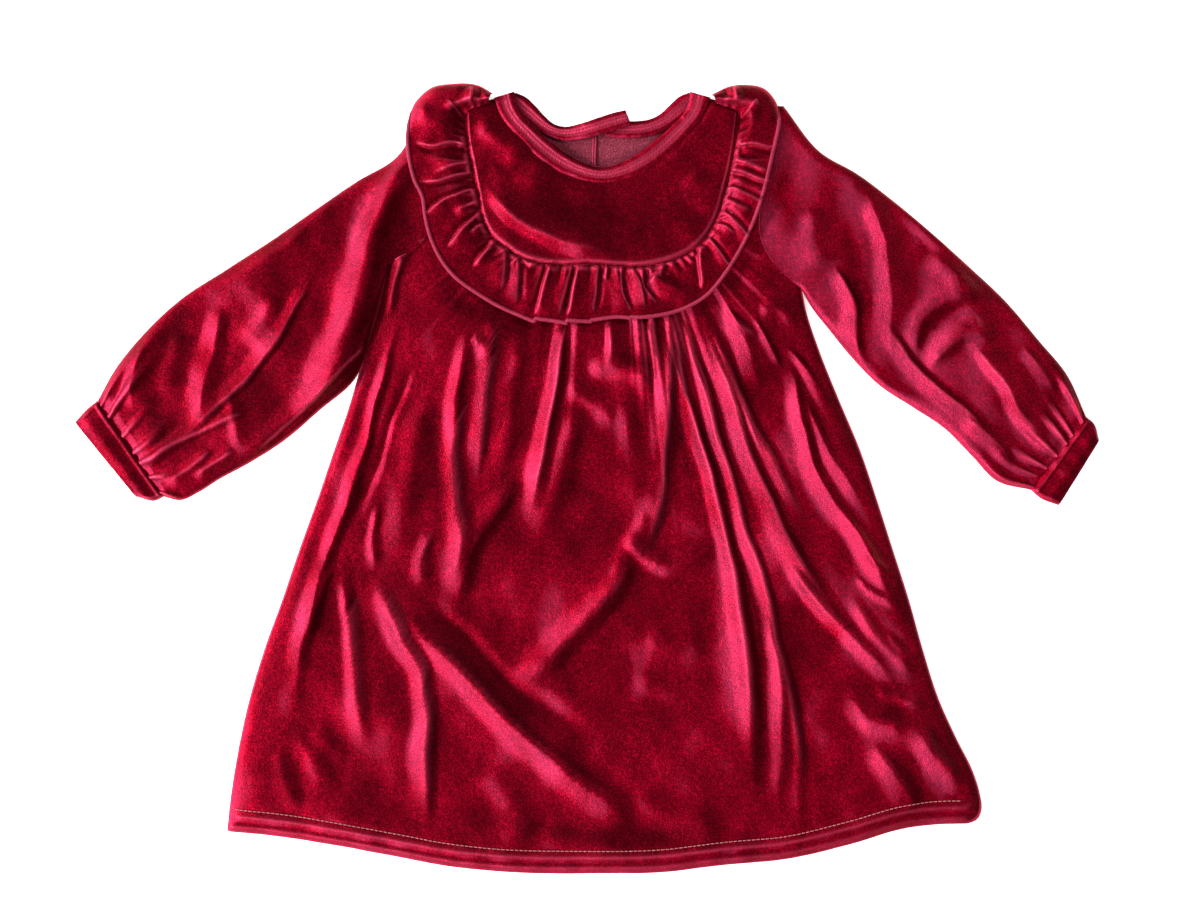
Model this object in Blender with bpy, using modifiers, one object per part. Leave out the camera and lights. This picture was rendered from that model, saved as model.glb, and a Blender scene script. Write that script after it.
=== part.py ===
"""Toddler party dress, about size 3T, in burgundy stretch velvet: a ruffled round yoke, a full
gathered skirt cut in one with the sides, long bishop sleeves with gathered cuffs, and a bound
neck that opens at the centre back. The dress lies flat on its back, face up.

Frame: X to the wearer's left side of the laid dress (right as laid), Y towards the neck, Z up.
The origin is the middle of the footprint, on the surface that the dress lies on. Tables are in
millimetres and the meshes in metres.
"""

import math

import bpy
import numpy as np

MM = 0.001

# ---------------------------------------------------------------- driving sizes, millimetres
CLOTH = 1.2  # velvet wall
BAND = 2.0  # folded bindings and cuffs
GAP = 0.35  # between pieces at a seam
SEAM_GAP = 0.9  # sleeve head to armhole, in plan
REST_TOP = CLOTH + GAP + CLOTH  # top of the front where it lies on the back at an edge
LOFT = 3.3  # how far the front lifts off the back between folds
LOFT_REACH = 18.0  # how far from a closed edge that lift builds up
SLEEVE_EDGE = 3.6  # top of a sleeve just inside its folded edge
SLEEVE_LOFT = 2.7  # and its lift in the middle
BINDING_TOP = 7.2
RUFFLE_SEAM_TOP = 8.0  # ruffle where it is caught in the yoke seam
RUFFLE_EDGE_TOP = 11.0  # ruffle at its free edge, between pleats
PLEAT = 3.0  # how far its pleats stand up at the free edge
PLEATS = 25
SLIT_X, SLIT_END, SLIT_GAP = 5.0, 172.0, 0.6  # centre-back opening
MIDDLE = 10.6  # X of the yoke's and neck's middle line

# ---------------------------------------------------------------- outlines, columns: x, y
YOKE_SEAM = [
    (-84.7, 255.5), (-83.3, 236.6), (-79.8, 217.7), (-76.3, 200.9), (-72.1, 181.0),
    (-66.5, 170.1), (-57.4, 162.4), (-46.9, 155.4), (-27.3, 150.2), (0.7, 150.2),
    (20.0, 149.0), (38.5, 148.4), (53.2, 151.2), (72.1, 158.9), (81.9, 168.0),
    (90.3, 182.0), (95.9, 200.9), (100.1, 217.7), (103.6, 236.6), (105.7, 255.5),
]
NECK_SEAM_HALF = [
    (-65.1, 266.0), (-60.2, 253.4), (-49.7, 240.1), (-36.4, 226.4), (-22.8, 216.3),
    (-9.1, 210.3), (4.2, 206.9), (MIDDLE, 206.5),
]
NECK_EDGE_HALF = [
    (-50.8, 270.2), (-50.4, 264.6), (-47.0, 256.2), (-36.4, 245.0), (-26.1, 235.9),
    (-14.3, 226.9), (-4.2, 221.2), (5.2, 218.0), (MIDDLE, 217.3),
]
BACK_SEAM_LEFT = [
    (-63.0, 266.0), (-53.9, 257.6), (-45.5, 251.3), (-34.3, 243.6), (-24.5, 238.7),
    (-15.4, 236.6), (-7.7, 236.9), (3.5, 238.7), (16.8, 242.5), (31.0, 246.8),
]
BACK_EDGE_LEFT = [
    (-49.7, 270.2), (-43.4, 267.4), (-36.4, 261.1), (-29.4, 253.4), (-22.8, 248.1),
    (-16.1, 246.4), (-5.6, 248.1), (7.7, 252.2), (17.9, 255.5), (27.0, 257.6),
]
BACK_SEAM_RIGHT = [
    (84.2, 266.0), (75.1, 257.6), (66.7, 251.3), (55.5, 243.9), (45.7, 240.2),
    (36.0, 238.6), (24.0, 238.4), (13.0, 239.6),
]
BACK_EDGE_RIGHT = [
    (70.9, 270.2), (64.6, 267.4), (57.6, 261.1), (50.6, 254.8), (43.0, 251.4),
    (34.5, 250.3), (24.5, 250.4), (14.0, 251.6),
]
SIDE_LEFT = [
    (-139.3, 149.8), (-144.6, 124.6), (-154.7, 89.6), (-164.5, 54.6), (-176.4, 19.6),
    (-188.3, -15.4), (-200.9, -50.4), (-212.8, -85.4), (-225.4, -120.4), (-235.9, -155.4),
    (-243.6, -190.4), (-249.2, -225.4), (-251.5, -247.1),
]
SIDE_RIGHT = [
    (149.6, 133.0), (152.6, 117.6), (161.7, 89.6), (175.7, 54.6), (190.4, 19.6),
    (202.3, -15.4), (213.5, -50.4), (224.7, -85.4), (234.5, -120.4), (245.7, -155.4),
    (259.0, -184.8), (269.5, -205.8), (274.6, -225.4), (275.8, -238.0),
]
HEM = [
    (-251.5, -247.1), (-221.9, -249.9), (-179.9, -256.2), (-137.9, -263.9), (-95.9, -271.6),
    (-46.9, -276.0), (9.1, -276.5), (51.1, -275.8), (93.1, -270.9), (142.1, -266.0),
    (184.1, -256.2), (226.1, -244.3), (254.1, -241.1), (275.8, -238.0),
]
# How far an armhole curves into the body from the line between its ends; columns: way down, depth.
ARMHOLE_CURVE = [(0.0, 0.0), (0.25, 17.0), (0.5, 23.0), (0.75, 23.5), (0.9, 13.0), (1.0, 0.0)]
ARMHOLE_LEFT = ((-113.0, 261.0), (-139.3, 149.8))
ARMHOLE_RIGHT = ((137.2, 261.0), (149.6, 133.0))
SHOULDER_LEFT = [(-65.1, 266.5), (-84.7, 261.5), (-113.0, 262.5)]
SHOULDER_RIGHT = [(86.3, 266.5), (105.7, 261.5), (137.2, 262.5)]

# Spans of the skirt round the body; columns: outline, start and end along the yoke seam, columns.
SKIRT_SPANS = [
    ("armhole_left", 0.0, 0.24, 7),
    ("side_left", 0.24, 0.39, 8),
    ("hem", 0.39, 0.63, 22),
    ("side_right", 0.63, 0.77, 8),
    ("armhole_right", 0.77, 1.0, 7),
]
SKIRT_ROWS = 16

# Ruffle, from the left shoulder round to the right; columns: x, y at the seam, x, y at the free edge.
RUFFLE = [
    (-68.6, 262.6, -66.4, 269.2),
    (-75.0, 259.8, -76.5, 274.8),
    (-81.0, 258.0, -93.0, 276.2),
    (-85.3, 254.0, -110.0, 273.6),
    (-85.2, 248.0, -121.1, 263.6),
    (-84.2, 236.6, -125.3, 243.0),
    (-80.8, 218.6, -123.0, 220.5),
    (-78.8, 208.6, -119.7, 207.9),
    (-77.1, 200.9, -114.8, 196.6),
    (-74.6, 190.0, -113.4, 183.0),
    (-71.9, 178.6, -110.9, 171.5),
    (-67.4, 169.6, -104.3, 156.8),
    (-58.0, 161.8, -92.4, 141.6),
    (-47.4, 154.6, -77.0, 129.7),
    (-38.0, 151.6, -59.0, 118.6),
    (-27.3, 149.6, -36.4, 111.4),
    (-13.0, 149.4, -16.1, 110.9),
    (0.7, 149.5, 0.7, 110.8),
    (14.0, 148.8, 19.5, 112.6),
    (28.0, 148.0, 38.5, 111.6),
    (39.0, 147.7, 55.3, 114.4),
    (53.6, 150.6, 72.1, 121.1),
    (64.0, 154.4, 84.0, 128.8),
    (72.7, 158.2, 94.5, 140.0),
    (82.7, 167.6, 105.7, 156.1),
    (88.2, 176.0, 114.1, 173.6),
    (91.2, 182.0, 121.1, 194.6),
    (96.9, 200.9, 126.7, 215.6),
    (101.1, 217.7, 131.6, 233.2),
    (104.6, 236.6, 134.4, 249.0),
    (106.6, 248.0, 132.0, 263.6),
    (106.8, 254.0, 124.0, 272.6),
    (102.4, 258.0, 111.0, 275.4),
    (96.2, 259.8, 97.6, 273.8),
    (89.8, 262.6, 87.6, 269.2),
]

# Sleeves from the shoulder to the wrist; columns: x, y of the upper edge, x, y of the lower edge,
# share of the armhole's curve.
SLEEVE_LEFT = [
    (-115.3, 260.9, -144.0, 148.6, 1.0),
    (-134.4, 224.7, -153.0, 112.0, 0.45),
    (-161.0, 208.6, -165.6, 68.6, 0.12),
    (-191.8, 187.6, -188.3, 47.6, 0.0),
    (-221.9, 166.6, -212.1, 26.6, 0.0),
    (-253.4, 146.3, -235.9, 11.2, 0.0),
    (-286.3, 124.6, -259.0, -1.4, 0.0),
    (-312.9, 99.4, -272.3, -9.8, 0.0),
    (-331.8, 75.6, -285.0, -14.7, 0.0),
    (-343.0, 53.6, -296.0, -11.5, 0.0),
]
SLEEVE_RIGHT = [
    (139.4, 261.0, 153.4, 132.5, 1.0),
    (164.5, 228.2, 159.5, 118.2, 0.45),
    (189.7, 213.5, 170.1, 103.7, 0.12),
    (214.9, 194.6, 185.6, 84.7, 0.0),
    (240.1, 173.6, 205.1, 65.1, 0.0),
    (268.1, 148.4, 229.6, 49.0, 0.0),
    (293.3, 124.6, 250.6, 35.0, 0.0),
    (317.1, 96.6, 270.0, 15.6, 0.0),
    (336.7, 72.8, 288.0, -2.3, 0.0),
    (350.2, 42.4, 311.6, -8.2, 0.0),
]
# Cuffs from the gathered seam to the wrist edge; columns: x, y of the upper edge, x, y of the lower.
CUFF_LEFT = [(-343.7, 53.0, -296.7, -12.1), (-352.6, 46.4, -306.6, -15.0), (-359.0, 38.8, -317.4, -11.2)]
CUFF_RIGHT = [(350.7, 41.8, 312.2, -8.8), (356.4, 35.4, 320.4, -15.4), (359.0, 26.4, 330.2, -18.8)]

# ---------------------------------------------------------------- folds, millimetres
# Columns: height (a trough is negative), reach to the left and to the right of the crease as it
# runs, then the crease itself as x, y points.
SKIRT_FOLDS = [
    (4.5, 9, 14, [(-134, 112), (-150, 44), (-167, -15), (-189, -76)]),
    (4.0, 8, 10, [(-85, 94), (-91, 53), (-91, -13), (-85, -36), (-92, -77)]),
    (4.5, 9, 7, [(-14, 100), (-23, 59), (-30, 23), (-39, -25)]),
    (3.5, 8, 10, [(-50, -8), (-71, -31), (-85, -68)]),
    (3.5, 9, 7, [(57, 100), (57, 55), (55, 18), (47, -38)]),
    (5.5, 7, 11, [(62, 76), (70, 46), (81, 11), (90, -24), (97, -54), (102, -85)]),
    (3.5, 8, 8, [(81, 106), (95, 67), (109, 25), (127, -24), (158, -81)]),
    (3.5, 8, 9, [(128, 78), (142, 45), (152, 15), (165, -8), (188, -41), (207, -61)]),
    (6.0, 8, 12, [(-141, -84), (-127, -116), (-113, -138), (-112, -190), (-112, -242)]),
    (6.0, 9, 13, [(-121, -104), (-85, -136), (-59, -165), (-32, -188), (16, -223)]),
    (4.5, 9, 10, [(16, -88), (-14, -122), (-42, -142)]),
    (4.5, 9, 15, [(99, -57), (106, -111), (109, -183)]),
    (4.5, 14, 7, [(124, -84), (134, -125), (145, -178), (148, -240)]),
    (4.0, 9, 9, [(141, -57), (161, -86), (179, -104), (204, -126)]),
    (3.5, 9, 9, [(184, -84), (206, -115), (236, -142)]),
    (3.5, 10, 10, [(-169, -70), (-164, -120), (-155, -180)]),
    (3.0, 12, 12, [(205, -170), (222, -190), (228, -225)]),
    (3.0, 12, 12, [(28, -60), (55, -76), (82, -66)]),
]
SLEEVE_LEFT_FOLDS = [
    (6.5, 13, 13, [(-140, 202), (-155, 174), (-169, 125), (-190, 81), (-221, 46)]),
    (7.5, 10, 13, [(-196, 134), (-212, 104), (-237, 79), (-262, 50)]),
    (6.5, 10, 10, [(-312, 14), (-285, 30), (-250, 44)]),
    (5.0, 10, 10, [(-334, 46), (-312, 66), (-288, 80)]),
]
SLEEVE_RIGHT_FOLDS = [
    (6.5, 12, 12, [(192, 196), (206, 160), (207, 115), (202, 84)]),
    (6.0, 10, 10, [(213, 101), (237, 74), (268, 52)]),
    (6.0, 10, 10, [(240, 91), (256, 108), (286, 106)]),
    (7.5, 9, 11, [(276, 88), (290, 66), (312, 38), (322, 20)]),
]


# ---------------------------------------------------------------- geometry helpers
def along(table, s):
    """Points at the fractions s of a smooth curve through a table's rows."""
    p = np.array(table, float)
    t = np.concatenate([[0.0], np.cumsum(np.linalg.norm(np.diff(p[:, :2], axis=0), axis=1))])
    t /= t[-1]
    m = np.gradient(p, t, axis=0) if len(t) > 2 else np.tile(p[1] - p[0], (2, 1))
    s = np.clip(np.asarray(s, float), 0.0, 1.0)
    i = np.clip(np.searchsorted(t, s, side="right") - 1, 0, len(t) - 2)
    h = (t[i + 1] - t[i])[:, None]
    f = (s - t[i])[:, None] / h
    return (
        (2 * f**3 - 3 * f**2 + 1) * p[i]
        + (f**3 - 2 * f**2 + f) * h * m[i]
        + (3 * f**2 - 2 * f**3) * p[i + 1]
        + (f**3 - f**2) * h * m[i + 1]
    )


def both_halves(half):
    """A left half outline with its mirror image across the middle line."""
    return half + [(2 * MIDDLE - x, y) for x, y in half[-2::-1]]


def smooth(f):
    f = np.clip(f, 0.0, 1.0)
    return f * f * (3 - 2 * f)


def nearest(path, x, y):
    """Distance from each x, y to a path, which side it is on, and how far along."""
    best = np.full(np.shape(x), 1e9)
    side = np.zeros(np.shape(x))
    way = np.zeros(np.shape(x))
    count = len(path) - 1
    for k in range(count):
        a, b = path[k], path[k + 1]
        dx, dy = b - a
        f = np.clip(((x - a[0]) * dx + (y - a[1]) * dy) / max(dx * dx + dy * dy, 1e-9), 0, 1)
        ex, ey = x - a[0] - f * dx, y - a[1] - f * dy
        d = np.hypot(ex, ey)
        closer = d < best
        best = np.where(closer, d, best)
        side = np.where(closer, dx * ey - dy * ex, side)
        way = np.where(closer, (k + f) / count, way)
    return best, side, way


def fold_height(folds, x, y):
    """Sum of the folds' heights at x, y, each dying away at its ends."""
    z = np.zeros(np.shape(x))
    for height, left, right, crease in folds:
        d, side, way = nearest(along(crease, np.linspace(0, 1, 15)), x, y)
        reach = np.where(side > 0, left, right)
        z += height * np.exp(-1.3 * (d / reach) ** 2) * smooth(way / 0.2) * smooth((1 - way) / 0.2)
    return z


def armhole(ends, share, w):
    """Points down an armhole line that curves into the body."""
    a, b = np.array(ends, float)
    w = np.asarray(w, float)
    run = (b - a) / np.linalg.norm(b - a)
    inward = np.array([-run[1], run[0]])
    if (inward[0] > 0) != (a[0] < MIDDLE):
        inward = -inward
    ways, depths = np.array(ARMHOLE_CURVE).T
    slopes = np.gradient(depths, ways)
    i = np.clip(np.searchsorted(ways, w, side="right") - 1, 0, len(ways) - 2)
    h = ways[i + 1] - ways[i]
    f = (w - ways[i]) / h
    depth = (
        (2 * f**3 - 3 * f**2 + 1) * depths[i]
        + (f**3 - 2 * f**2 + f) * h * slopes[i]
        + (3 * f**2 - 2 * f**3) * depths[i + 1]
        + (f**3 - f**2) * h * slopes[i + 1]
    ) * share ** (1 + 14 * w**2)
    return a + (b - a) * w[:, None] + inward * depth[:, None]


CLOSED_EDGES = [
    along(SHOULDER_LEFT, np.linspace(0, 1, 6)),
    along(SIDE_LEFT, np.linspace(0, 1, 24)),
    along(HEM, np.linspace(0, 1, 24)),
    along(SIDE_RIGHT, np.linspace(0, 1, 24)),
    along(SHOULDER_RIGHT, np.linspace(0, 1, 6)),
]


def front_base(x, y):
    """Top of the front between folds: down on the back at every closed edge."""
    d = np.minimum.reduce([nearest(edge, x, y)[0] for edge in CLOSED_EDGES])
    return REST_TOP + 0.1 + LOFT * (1 - np.exp(-d / LOFT_REACH))


def sheet_object(name, points, wall, material, wrap=False):
    """An open grid of points, thickened downwards or inwards by Solidify."""
    rows, columns = points.shape[:2]
    faces = []
    for r in range(rows - 1):
        for c in range(columns if wrap else columns - 1):
            d = (c + 1) % columns
            faces.append((r * columns + c, r * columns + d, (r + 1) * columns + d, (r + 1) * columns + c))
    mesh = bpy.data.meshes.new(name)
    mesh.from_pydata((points.reshape(-1, 3) * MM).tolist(), [], faces)
    if not wrap:
        up = sum(p.normal.z * p.area for p in mesh.polygons) > 0
    else:
        centre = points.mean(axis=(0, 1)) * MM
        up = sum((p.center.z - centre[2]) * p.normal.z * p.area for p in mesh.polygons) > 0
    if not up:
        mesh.flip_normals()
    mesh.shade_smooth()
    mesh.materials.append(material)
    obj = bpy.data.objects.new(name, mesh)
    COLLECTION.objects.link(obj)
    obj.parent = DRESS
    thick = obj.modifiers.new("wall", "SOLIDIFY")
    thick.thickness = wall * MM
    thick.offset = -1.0
    thick.use_even_offset = False
    return obj


def flat_object(name, outline, wall, material):
    """A flat outline lying on the surface, as a filled curve extruded to the wall."""
    curve = bpy.data.curves.new(name, "CURVE")
    curve.dimensions = "2D"
    curve.fill_mode = "BOTH"
    curve.extrude = wall * MM / 2
    spline = curve.splines.new("POLY")
    spline.points.add(len(outline) - 1)
    for point, (x, y) in zip(spline.points, outline):
        point.co = (x * MM, y * MM, 0.0, 1.0)
    spline.use_cyclic_u = True
    curve.materials.append(material)
    obj = bpy.data.objects.new(name, curve)
    COLLECTION.objects.link(obj)
    obj.parent = DRESS
    obj.location = (0.0, 0.0, wall * MM / 2)
    return obj


def material(name, colour, roughness, sheen):
    made = bpy.data.materials.new(name)
    made.use_nodes = True
    shader = made.node_tree.nodes["Principled BSDF"]
    shader.inputs["Base Color"].default_value = (*colour, 1.0)
    shader.inputs["Roughness"].default_value = roughness
    shader.inputs["Metallic"].default_value = 0.0
    shader.inputs["Sheen Weight"].default_value = sheen
    made.diffuse_color = (*colour, 1.0)
    return made


# ---------------------------------------------------------------- pieces
def outline_of(name, count):
    s = np.linspace(0, 1, count)
    if name == "armhole_left":
        return armhole(ARMHOLE_LEFT, 1.0, s) + (0.5, 0.3)
    if name == "side_left":
        return along(SIDE_LEFT, s)
    if name == "hem":
        return along(HEM, s)
    if name == "side_right":
        return along(SIDE_RIGHT, s)[::-1]
    return (armhole(ARMHOLE_RIGHT, 1.0, s) + (-0.5, 0.3))[::-1]


def make_front_skirt():
    seam, outer = [], []
    for k, (name, start, end, count) in enumerate(SKIRT_SPANS):
        edge = outline_of(name, count + 1)
        ways = np.linspace(start, end, count + 1)
        first = 1 if k else 0
        seam.append(along(YOKE_SEAM, ways)[first:])
        outer.append(edge[first:])
    seam, outer = np.concatenate(seam), np.concatenate(outer)
    v = np.linspace(0, 1, SKIRT_ROWS + 1)[:, None, None] ** 1.1
    plan = seam + (outer - seam) * v
    x, y = plan[..., 0], plan[..., 1]
    from_edge = np.minimum.reduce([nearest(edge, x, y)[0] for edge in CLOSED_EDGES[1:4]])
    z = front_base(x, y) + fold_height(SKIRT_FOLDS, x, y) * smooth(from_edge / 22)
    z = np.maximum(z, REST_TOP + 0.1)
    return sheet_object("front_skirt", np.stack([x, y, z], -1), CLOTH, VELVET)


def make_front_yoke():
    columns, rows = 26, 4
    s = np.linspace(0, 1, columns)
    neck = along(both_halves(NECK_SEAM_HALF), s)
    seam = along(YOKE_SEAM, s)
    run = seam - neck
    step = run / np.linalg.norm(run, axis=1)[:, None] * (GAP + 0.5)
    neck, seam = neck + step, seam - step
    v = np.linspace(0, 1, rows + 1)[:, None, None]
    plan = neck + (seam - neck) * v
    x, y = plan[..., 0], plan[..., 1]
    return sheet_object("front_yoke", np.stack([x, y, front_base(x, y) + 0.5], -1), CLOTH, VELVET)


def make_ruffle():
    per_pleat = 4
    columns = PLEATS * per_pleat + 1
    rows = 3
    s = np.linspace(0, 1, columns)
    table = np.array(RUFFLE)
    inner = along(table[:, :2], np.linspace(0, 1, columns))
    keyed = np.linspace(0, 1, len(table))
    lengths = np.concatenate([[0], np.cumsum(np.linalg.norm(np.diff(table[:, :2], axis=0), axis=1))])
    keyed_inner = np.interp(s, lengths / lengths[-1], keyed)
    outer_lengths = np.concatenate([[0], np.cumsum(np.linalg.norm(np.diff(table[:, 2:], axis=0), axis=1))])
    outer = along(table[:, 2:], np.interp(keyed_inner, keyed, outer_lengths / outer_lengths[-1]))
    v = np.linspace(0, 1, rows + 1)[:, None]
    plan = inner[None] + (outer - inner)[None] * v[..., None]
    x, y = plan[..., 0], plan[..., 1]
    wave = 0.5 - 0.5 * np.cos(2 * math.pi * PLEATS * s)
    uneven = 0.72 + 0.28 * np.sin(9.7 * s + 1.1) * np.sin(23.1 * s)
    z = RUFFLE_SEAM_TOP + (RUFFLE_EDGE_TOP - RUFFLE_SEAM_TOP) * v**0.7 + PLEAT * (wave * uneven)[None] * v**0.8
    return sheet_object("ruffle", np.stack([x, y, z], -1), CLOTH, VELVET)


def tube_points(name_rows, rows, top_count, bottom_count, edge_top, loft, folds, end_loft, tip, curve_side=0):
    """A flattened tube: level where it lies, a lifted and folded upper side."""
    table = np.array(name_rows)
    ways = np.linspace(0, 1, rows)
    upper = along(table[:, :2], ways)
    lengths = np.concatenate([[0], np.cumsum(np.linalg.norm(np.diff(table[:, :2], axis=0), axis=1))])
    low_lengths = np.concatenate([[0], np.cumsum(np.linalg.norm(np.diff(table[:, 2:4], axis=0), axis=1))])
    low_ways = np.interp(ways, lengths / lengths[-1], low_lengths / low_lengths[-1])
    lower = along(table[:, 2:4], low_ways)
    share = np.interp(ways, lengths / lengths[-1], table[:, 4]) if table.shape[1] > 4 else np.zeros(rows)
    top_w = np.linspace(0, 1, top_count + 2)
    bottom_w = np.linspace(1, 0, bottom_count + 2)[1:-1]
    grid = []
    for r in range(rows):
        width = np.linalg.norm(lower[r] - upper[r])
        inset = 3.6 / width
        w = np.concatenate([[0.0], inset + (1 - 2 * inset) * top_w, [1.0], inset + (1 - 2 * inset) * np.concatenate([[1.0], bottom_w, [0.0]])])
        on_top = np.concatenate([[False], np.full(len(top_w), True), [False], np.full(len(bottom_w) + 2, False)])
        plan = armhole((upper[r], lower[r]), share[r], w)
        x, y = plan[:, 0], plan[:, 1]
        lift = loft + (end_loft - loft) * smooth((ways[r] - 0.8) / 0.2)
        across = np.sin(math.pi * np.clip(w, 0, 1)) ** 0.7
        fade = smooth(np.minimum(w, 1 - w) / 0.12)
        top = edge_top + lift * across + fold_height(folds, x, y) * fade
        z = np.where(on_top, top, 0.0)
        z[0] = z[len(top_w) + 1] = tip
        grid.append(np.stack([x, y, z], -1))
    return np.array(grid)


def make_sleeve(name, table, folds):
    points = tube_points(table, 14, 11, 3, SLEEVE_EDGE, SLEEVE_LOFT, folds, 2.4, 1.7)
    return sheet_object(name, points, CLOTH, VELVET, wrap=True)


def make_cuff(name, table):
    points = tube_points(table, 4, 7, 4, 5.2, 1.6, [], 1.6, 2.6)
    return sheet_object(name, points, BAND, VELVET, wrap=True)


def make_band(name, seam_table, edge_table, columns, top, flip_gap=0.35):
    s = np.linspace(0, 1, columns)
    seam, edge = along(seam_table, s), along(edge_table, s)
    run = edge - seam
    seam = seam + run / np.linalg.norm(run, axis=1)[:, None] * flip_gap
    v = np.array([0.0, 0.35, 0.7, 1.0])[:, None, None]
    plan = seam + (edge - seam) * v
    x, y = plan[..., 0], plan[..., 1]
    z = top(x, y) - 0.5 * (2 * np.broadcast_to(v[..., 0], x.shape) - 1) ** 4
    return sheet_object(name, np.stack([x, y, z], -1), BAND, VELVET)


def make_back_panel():
    outline = [tuple(p) for p in along(SHOULDER_LEFT, np.linspace(0, 1, 4))]
    outline += [tuple(p) for p in armhole(ARMHOLE_LEFT, 1.0, np.linspace(0, 1, 12))[1:]]
    outline += [tuple(p) for p in along(SIDE_LEFT, np.linspace(0, 1, 14))[1:]]
    outline += [tuple(p) for p in along(HEM, np.linspace(0, 1, 23))[1:]]
    outline += [tuple(p) for p in along(SIDE_RIGHT, np.linspace(0, 1, 14))[::-1][1:]]
    outline += [tuple(p) for p in armhole(ARMHOLE_RIGHT, 1.0, np.linspace(0, 1, 12))[::-1][1:]]
    outline += [tuple(p) for p in along(SHOULDER_RIGHT, np.linspace(0, 1, 4))[::-1][1:]]
    right = [p for p in along(BACK_SEAM_RIGHT, np.linspace(0, 1, 10)) if p[0] > SLIT_X + 8]
    outline += [tuple(p) for p in right[1:]]
    outline += [(SLIT_X + SLIT_GAP / 2, 238.8), (SLIT_X + SLIT_GAP / 2, SLIT_END)]
    outline += [(SLIT_X - SLIT_GAP / 2, SLIT_END), (SLIT_X - SLIT_GAP / 2, 238.8)]
    left = [p for p in along(BACK_SEAM_LEFT, np.linspace(0, 1, 12))[::-1] if p[0] < SLIT_X - 4]
    outline += [tuple(p) for p in left[:-1]]
    return flat_object("back_panel", outline, CLOTH, VELVET_BACK)


# ---------------------------------------------------------------- build
for old in list(bpy.data.objects):
    bpy.data.objects.remove(old, do_unlink=True)

COLLECTION = bpy.data.collections.new("toddler_party_dress")
bpy.context.scene.collection.children.link(COLLECTION)
DRESS = bpy.data.objects.new("dress", None)
COLLECTION.objects.link(DRESS)

VELVET = material("burgundy_velvet", (0.20, 0.004, 0.018), 0.55, 0.6)
VELVET_BACK = material("velvet_wrong_side", (0.36, 0.030, 0.075), 0.85, 0.2)

make_back_panel()
make_front_skirt()
make_front_yoke()
make_ruffle()
make_sleeve("sleeve_left", SLEEVE_LEFT, SLEEVE_LEFT_FOLDS)
make_sleeve("sleeve_right", SLEEVE_RIGHT, SLEEVE_RIGHT_FOLDS)
make_cuff("cuff_left", CUFF_LEFT)
make_cuff("cuff_right", CUFF_RIGHT)
make_band(
    "neck_binding_front",
    both_halves(NECK_SEAM_HALF),
    both_halves(NECK_EDGE_HALF),
    29,
    lambda x, y: BINDING_TOP + 0.0 * x,
)
make_band(
    "neck_binding_back_left",
    BACK_SEAM_LEFT,
    BACK_EDGE_LEFT,
    17,
    lambda x, y: CLOTH + GAP + BAND + 0.6 + 2.9 * smooth((x + 18.0) / 24.0),
)
make_band(
    "neck_binding_back_right",
    BACK_SEAM_RIGHT,
    BACK_EDGE_RIGHT,
    13,
    lambda x, y: CLOTH + GAP + BAND + 0.6 + 0.0 * x,
)
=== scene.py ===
import math

import bpy
import numpy as np
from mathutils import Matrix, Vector


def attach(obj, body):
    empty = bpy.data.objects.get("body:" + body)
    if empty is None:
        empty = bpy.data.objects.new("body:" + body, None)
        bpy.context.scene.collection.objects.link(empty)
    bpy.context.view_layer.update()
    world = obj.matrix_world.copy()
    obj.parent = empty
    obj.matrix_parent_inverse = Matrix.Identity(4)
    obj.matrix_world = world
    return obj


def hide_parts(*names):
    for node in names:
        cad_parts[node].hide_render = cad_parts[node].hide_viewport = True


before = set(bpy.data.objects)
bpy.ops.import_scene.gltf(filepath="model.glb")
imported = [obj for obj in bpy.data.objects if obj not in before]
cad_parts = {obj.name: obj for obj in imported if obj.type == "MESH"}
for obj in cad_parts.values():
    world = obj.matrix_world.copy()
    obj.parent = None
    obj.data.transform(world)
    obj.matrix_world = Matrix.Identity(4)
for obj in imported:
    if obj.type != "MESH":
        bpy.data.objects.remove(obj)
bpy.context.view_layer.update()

MM = 0.001

# ---------------------------------------------------------------- outlines, millimetres: x, y
MIDDLE = 10.6
YOKE_SEAM = [
    (-84.7, 255.5), (-83.3, 236.6), (-79.8, 217.7), (-76.3, 200.9), (-72.1, 181.0),
    (-66.5, 170.1), (-57.4, 162.4), (-46.9, 155.4), (-27.3, 150.2), (0.7, 150.2),
    (20.0, 149.0), (38.5, 148.4), (53.2, 151.2), (72.1, 158.9), (81.9, 168.0),
    (90.3, 182.0), (95.9, 200.9), (100.1, 217.7), (103.6, 236.6), (105.7, 255.5),
]
NECK_SEAM_HALF = [
    (-65.1, 266.0), (-60.2, 253.4), (-49.7, 240.1), (-36.4, 226.4), (-22.8, 216.3),
    (-9.1, 210.3), (4.2, 206.9), (MIDDLE, 206.5),
]
NECK_EDGE_HALF = [
    (-50.8, 270.2), (-50.4, 264.6), (-47.0, 256.2), (-36.4, 245.0), (-26.1, 235.9),
    (-14.3, 226.9), (-4.2, 221.2), (5.2, 218.0), (MIDDLE, 217.3),
]
BACK_SEAM_LEFT = [
    (-63.0, 266.0), (-53.9, 257.6), (-45.5, 251.3), (-34.3, 243.6), (-24.5, 238.7),
    (-15.4, 236.6), (-7.7, 236.9), (3.5, 238.7), (16.8, 242.5), (31.0, 246.8),
]
BACK_EDGE_LEFT = [
    (-49.7, 270.2), (-43.4, 267.4), (-36.4, 261.1), (-29.4, 253.4), (-22.8, 248.1),
    (-16.1, 246.4), (-5.6, 248.1), (7.7, 252.2), (17.9, 255.5), (27.0, 257.6),
]
BACK_SEAM_RIGHT = [
    (84.2, 266.0), (75.1, 257.6), (66.7, 251.3), (55.5, 243.9), (45.7, 240.2),
    (36.0, 238.6), (24.0, 238.4), (13.0, 239.6),
]
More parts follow.
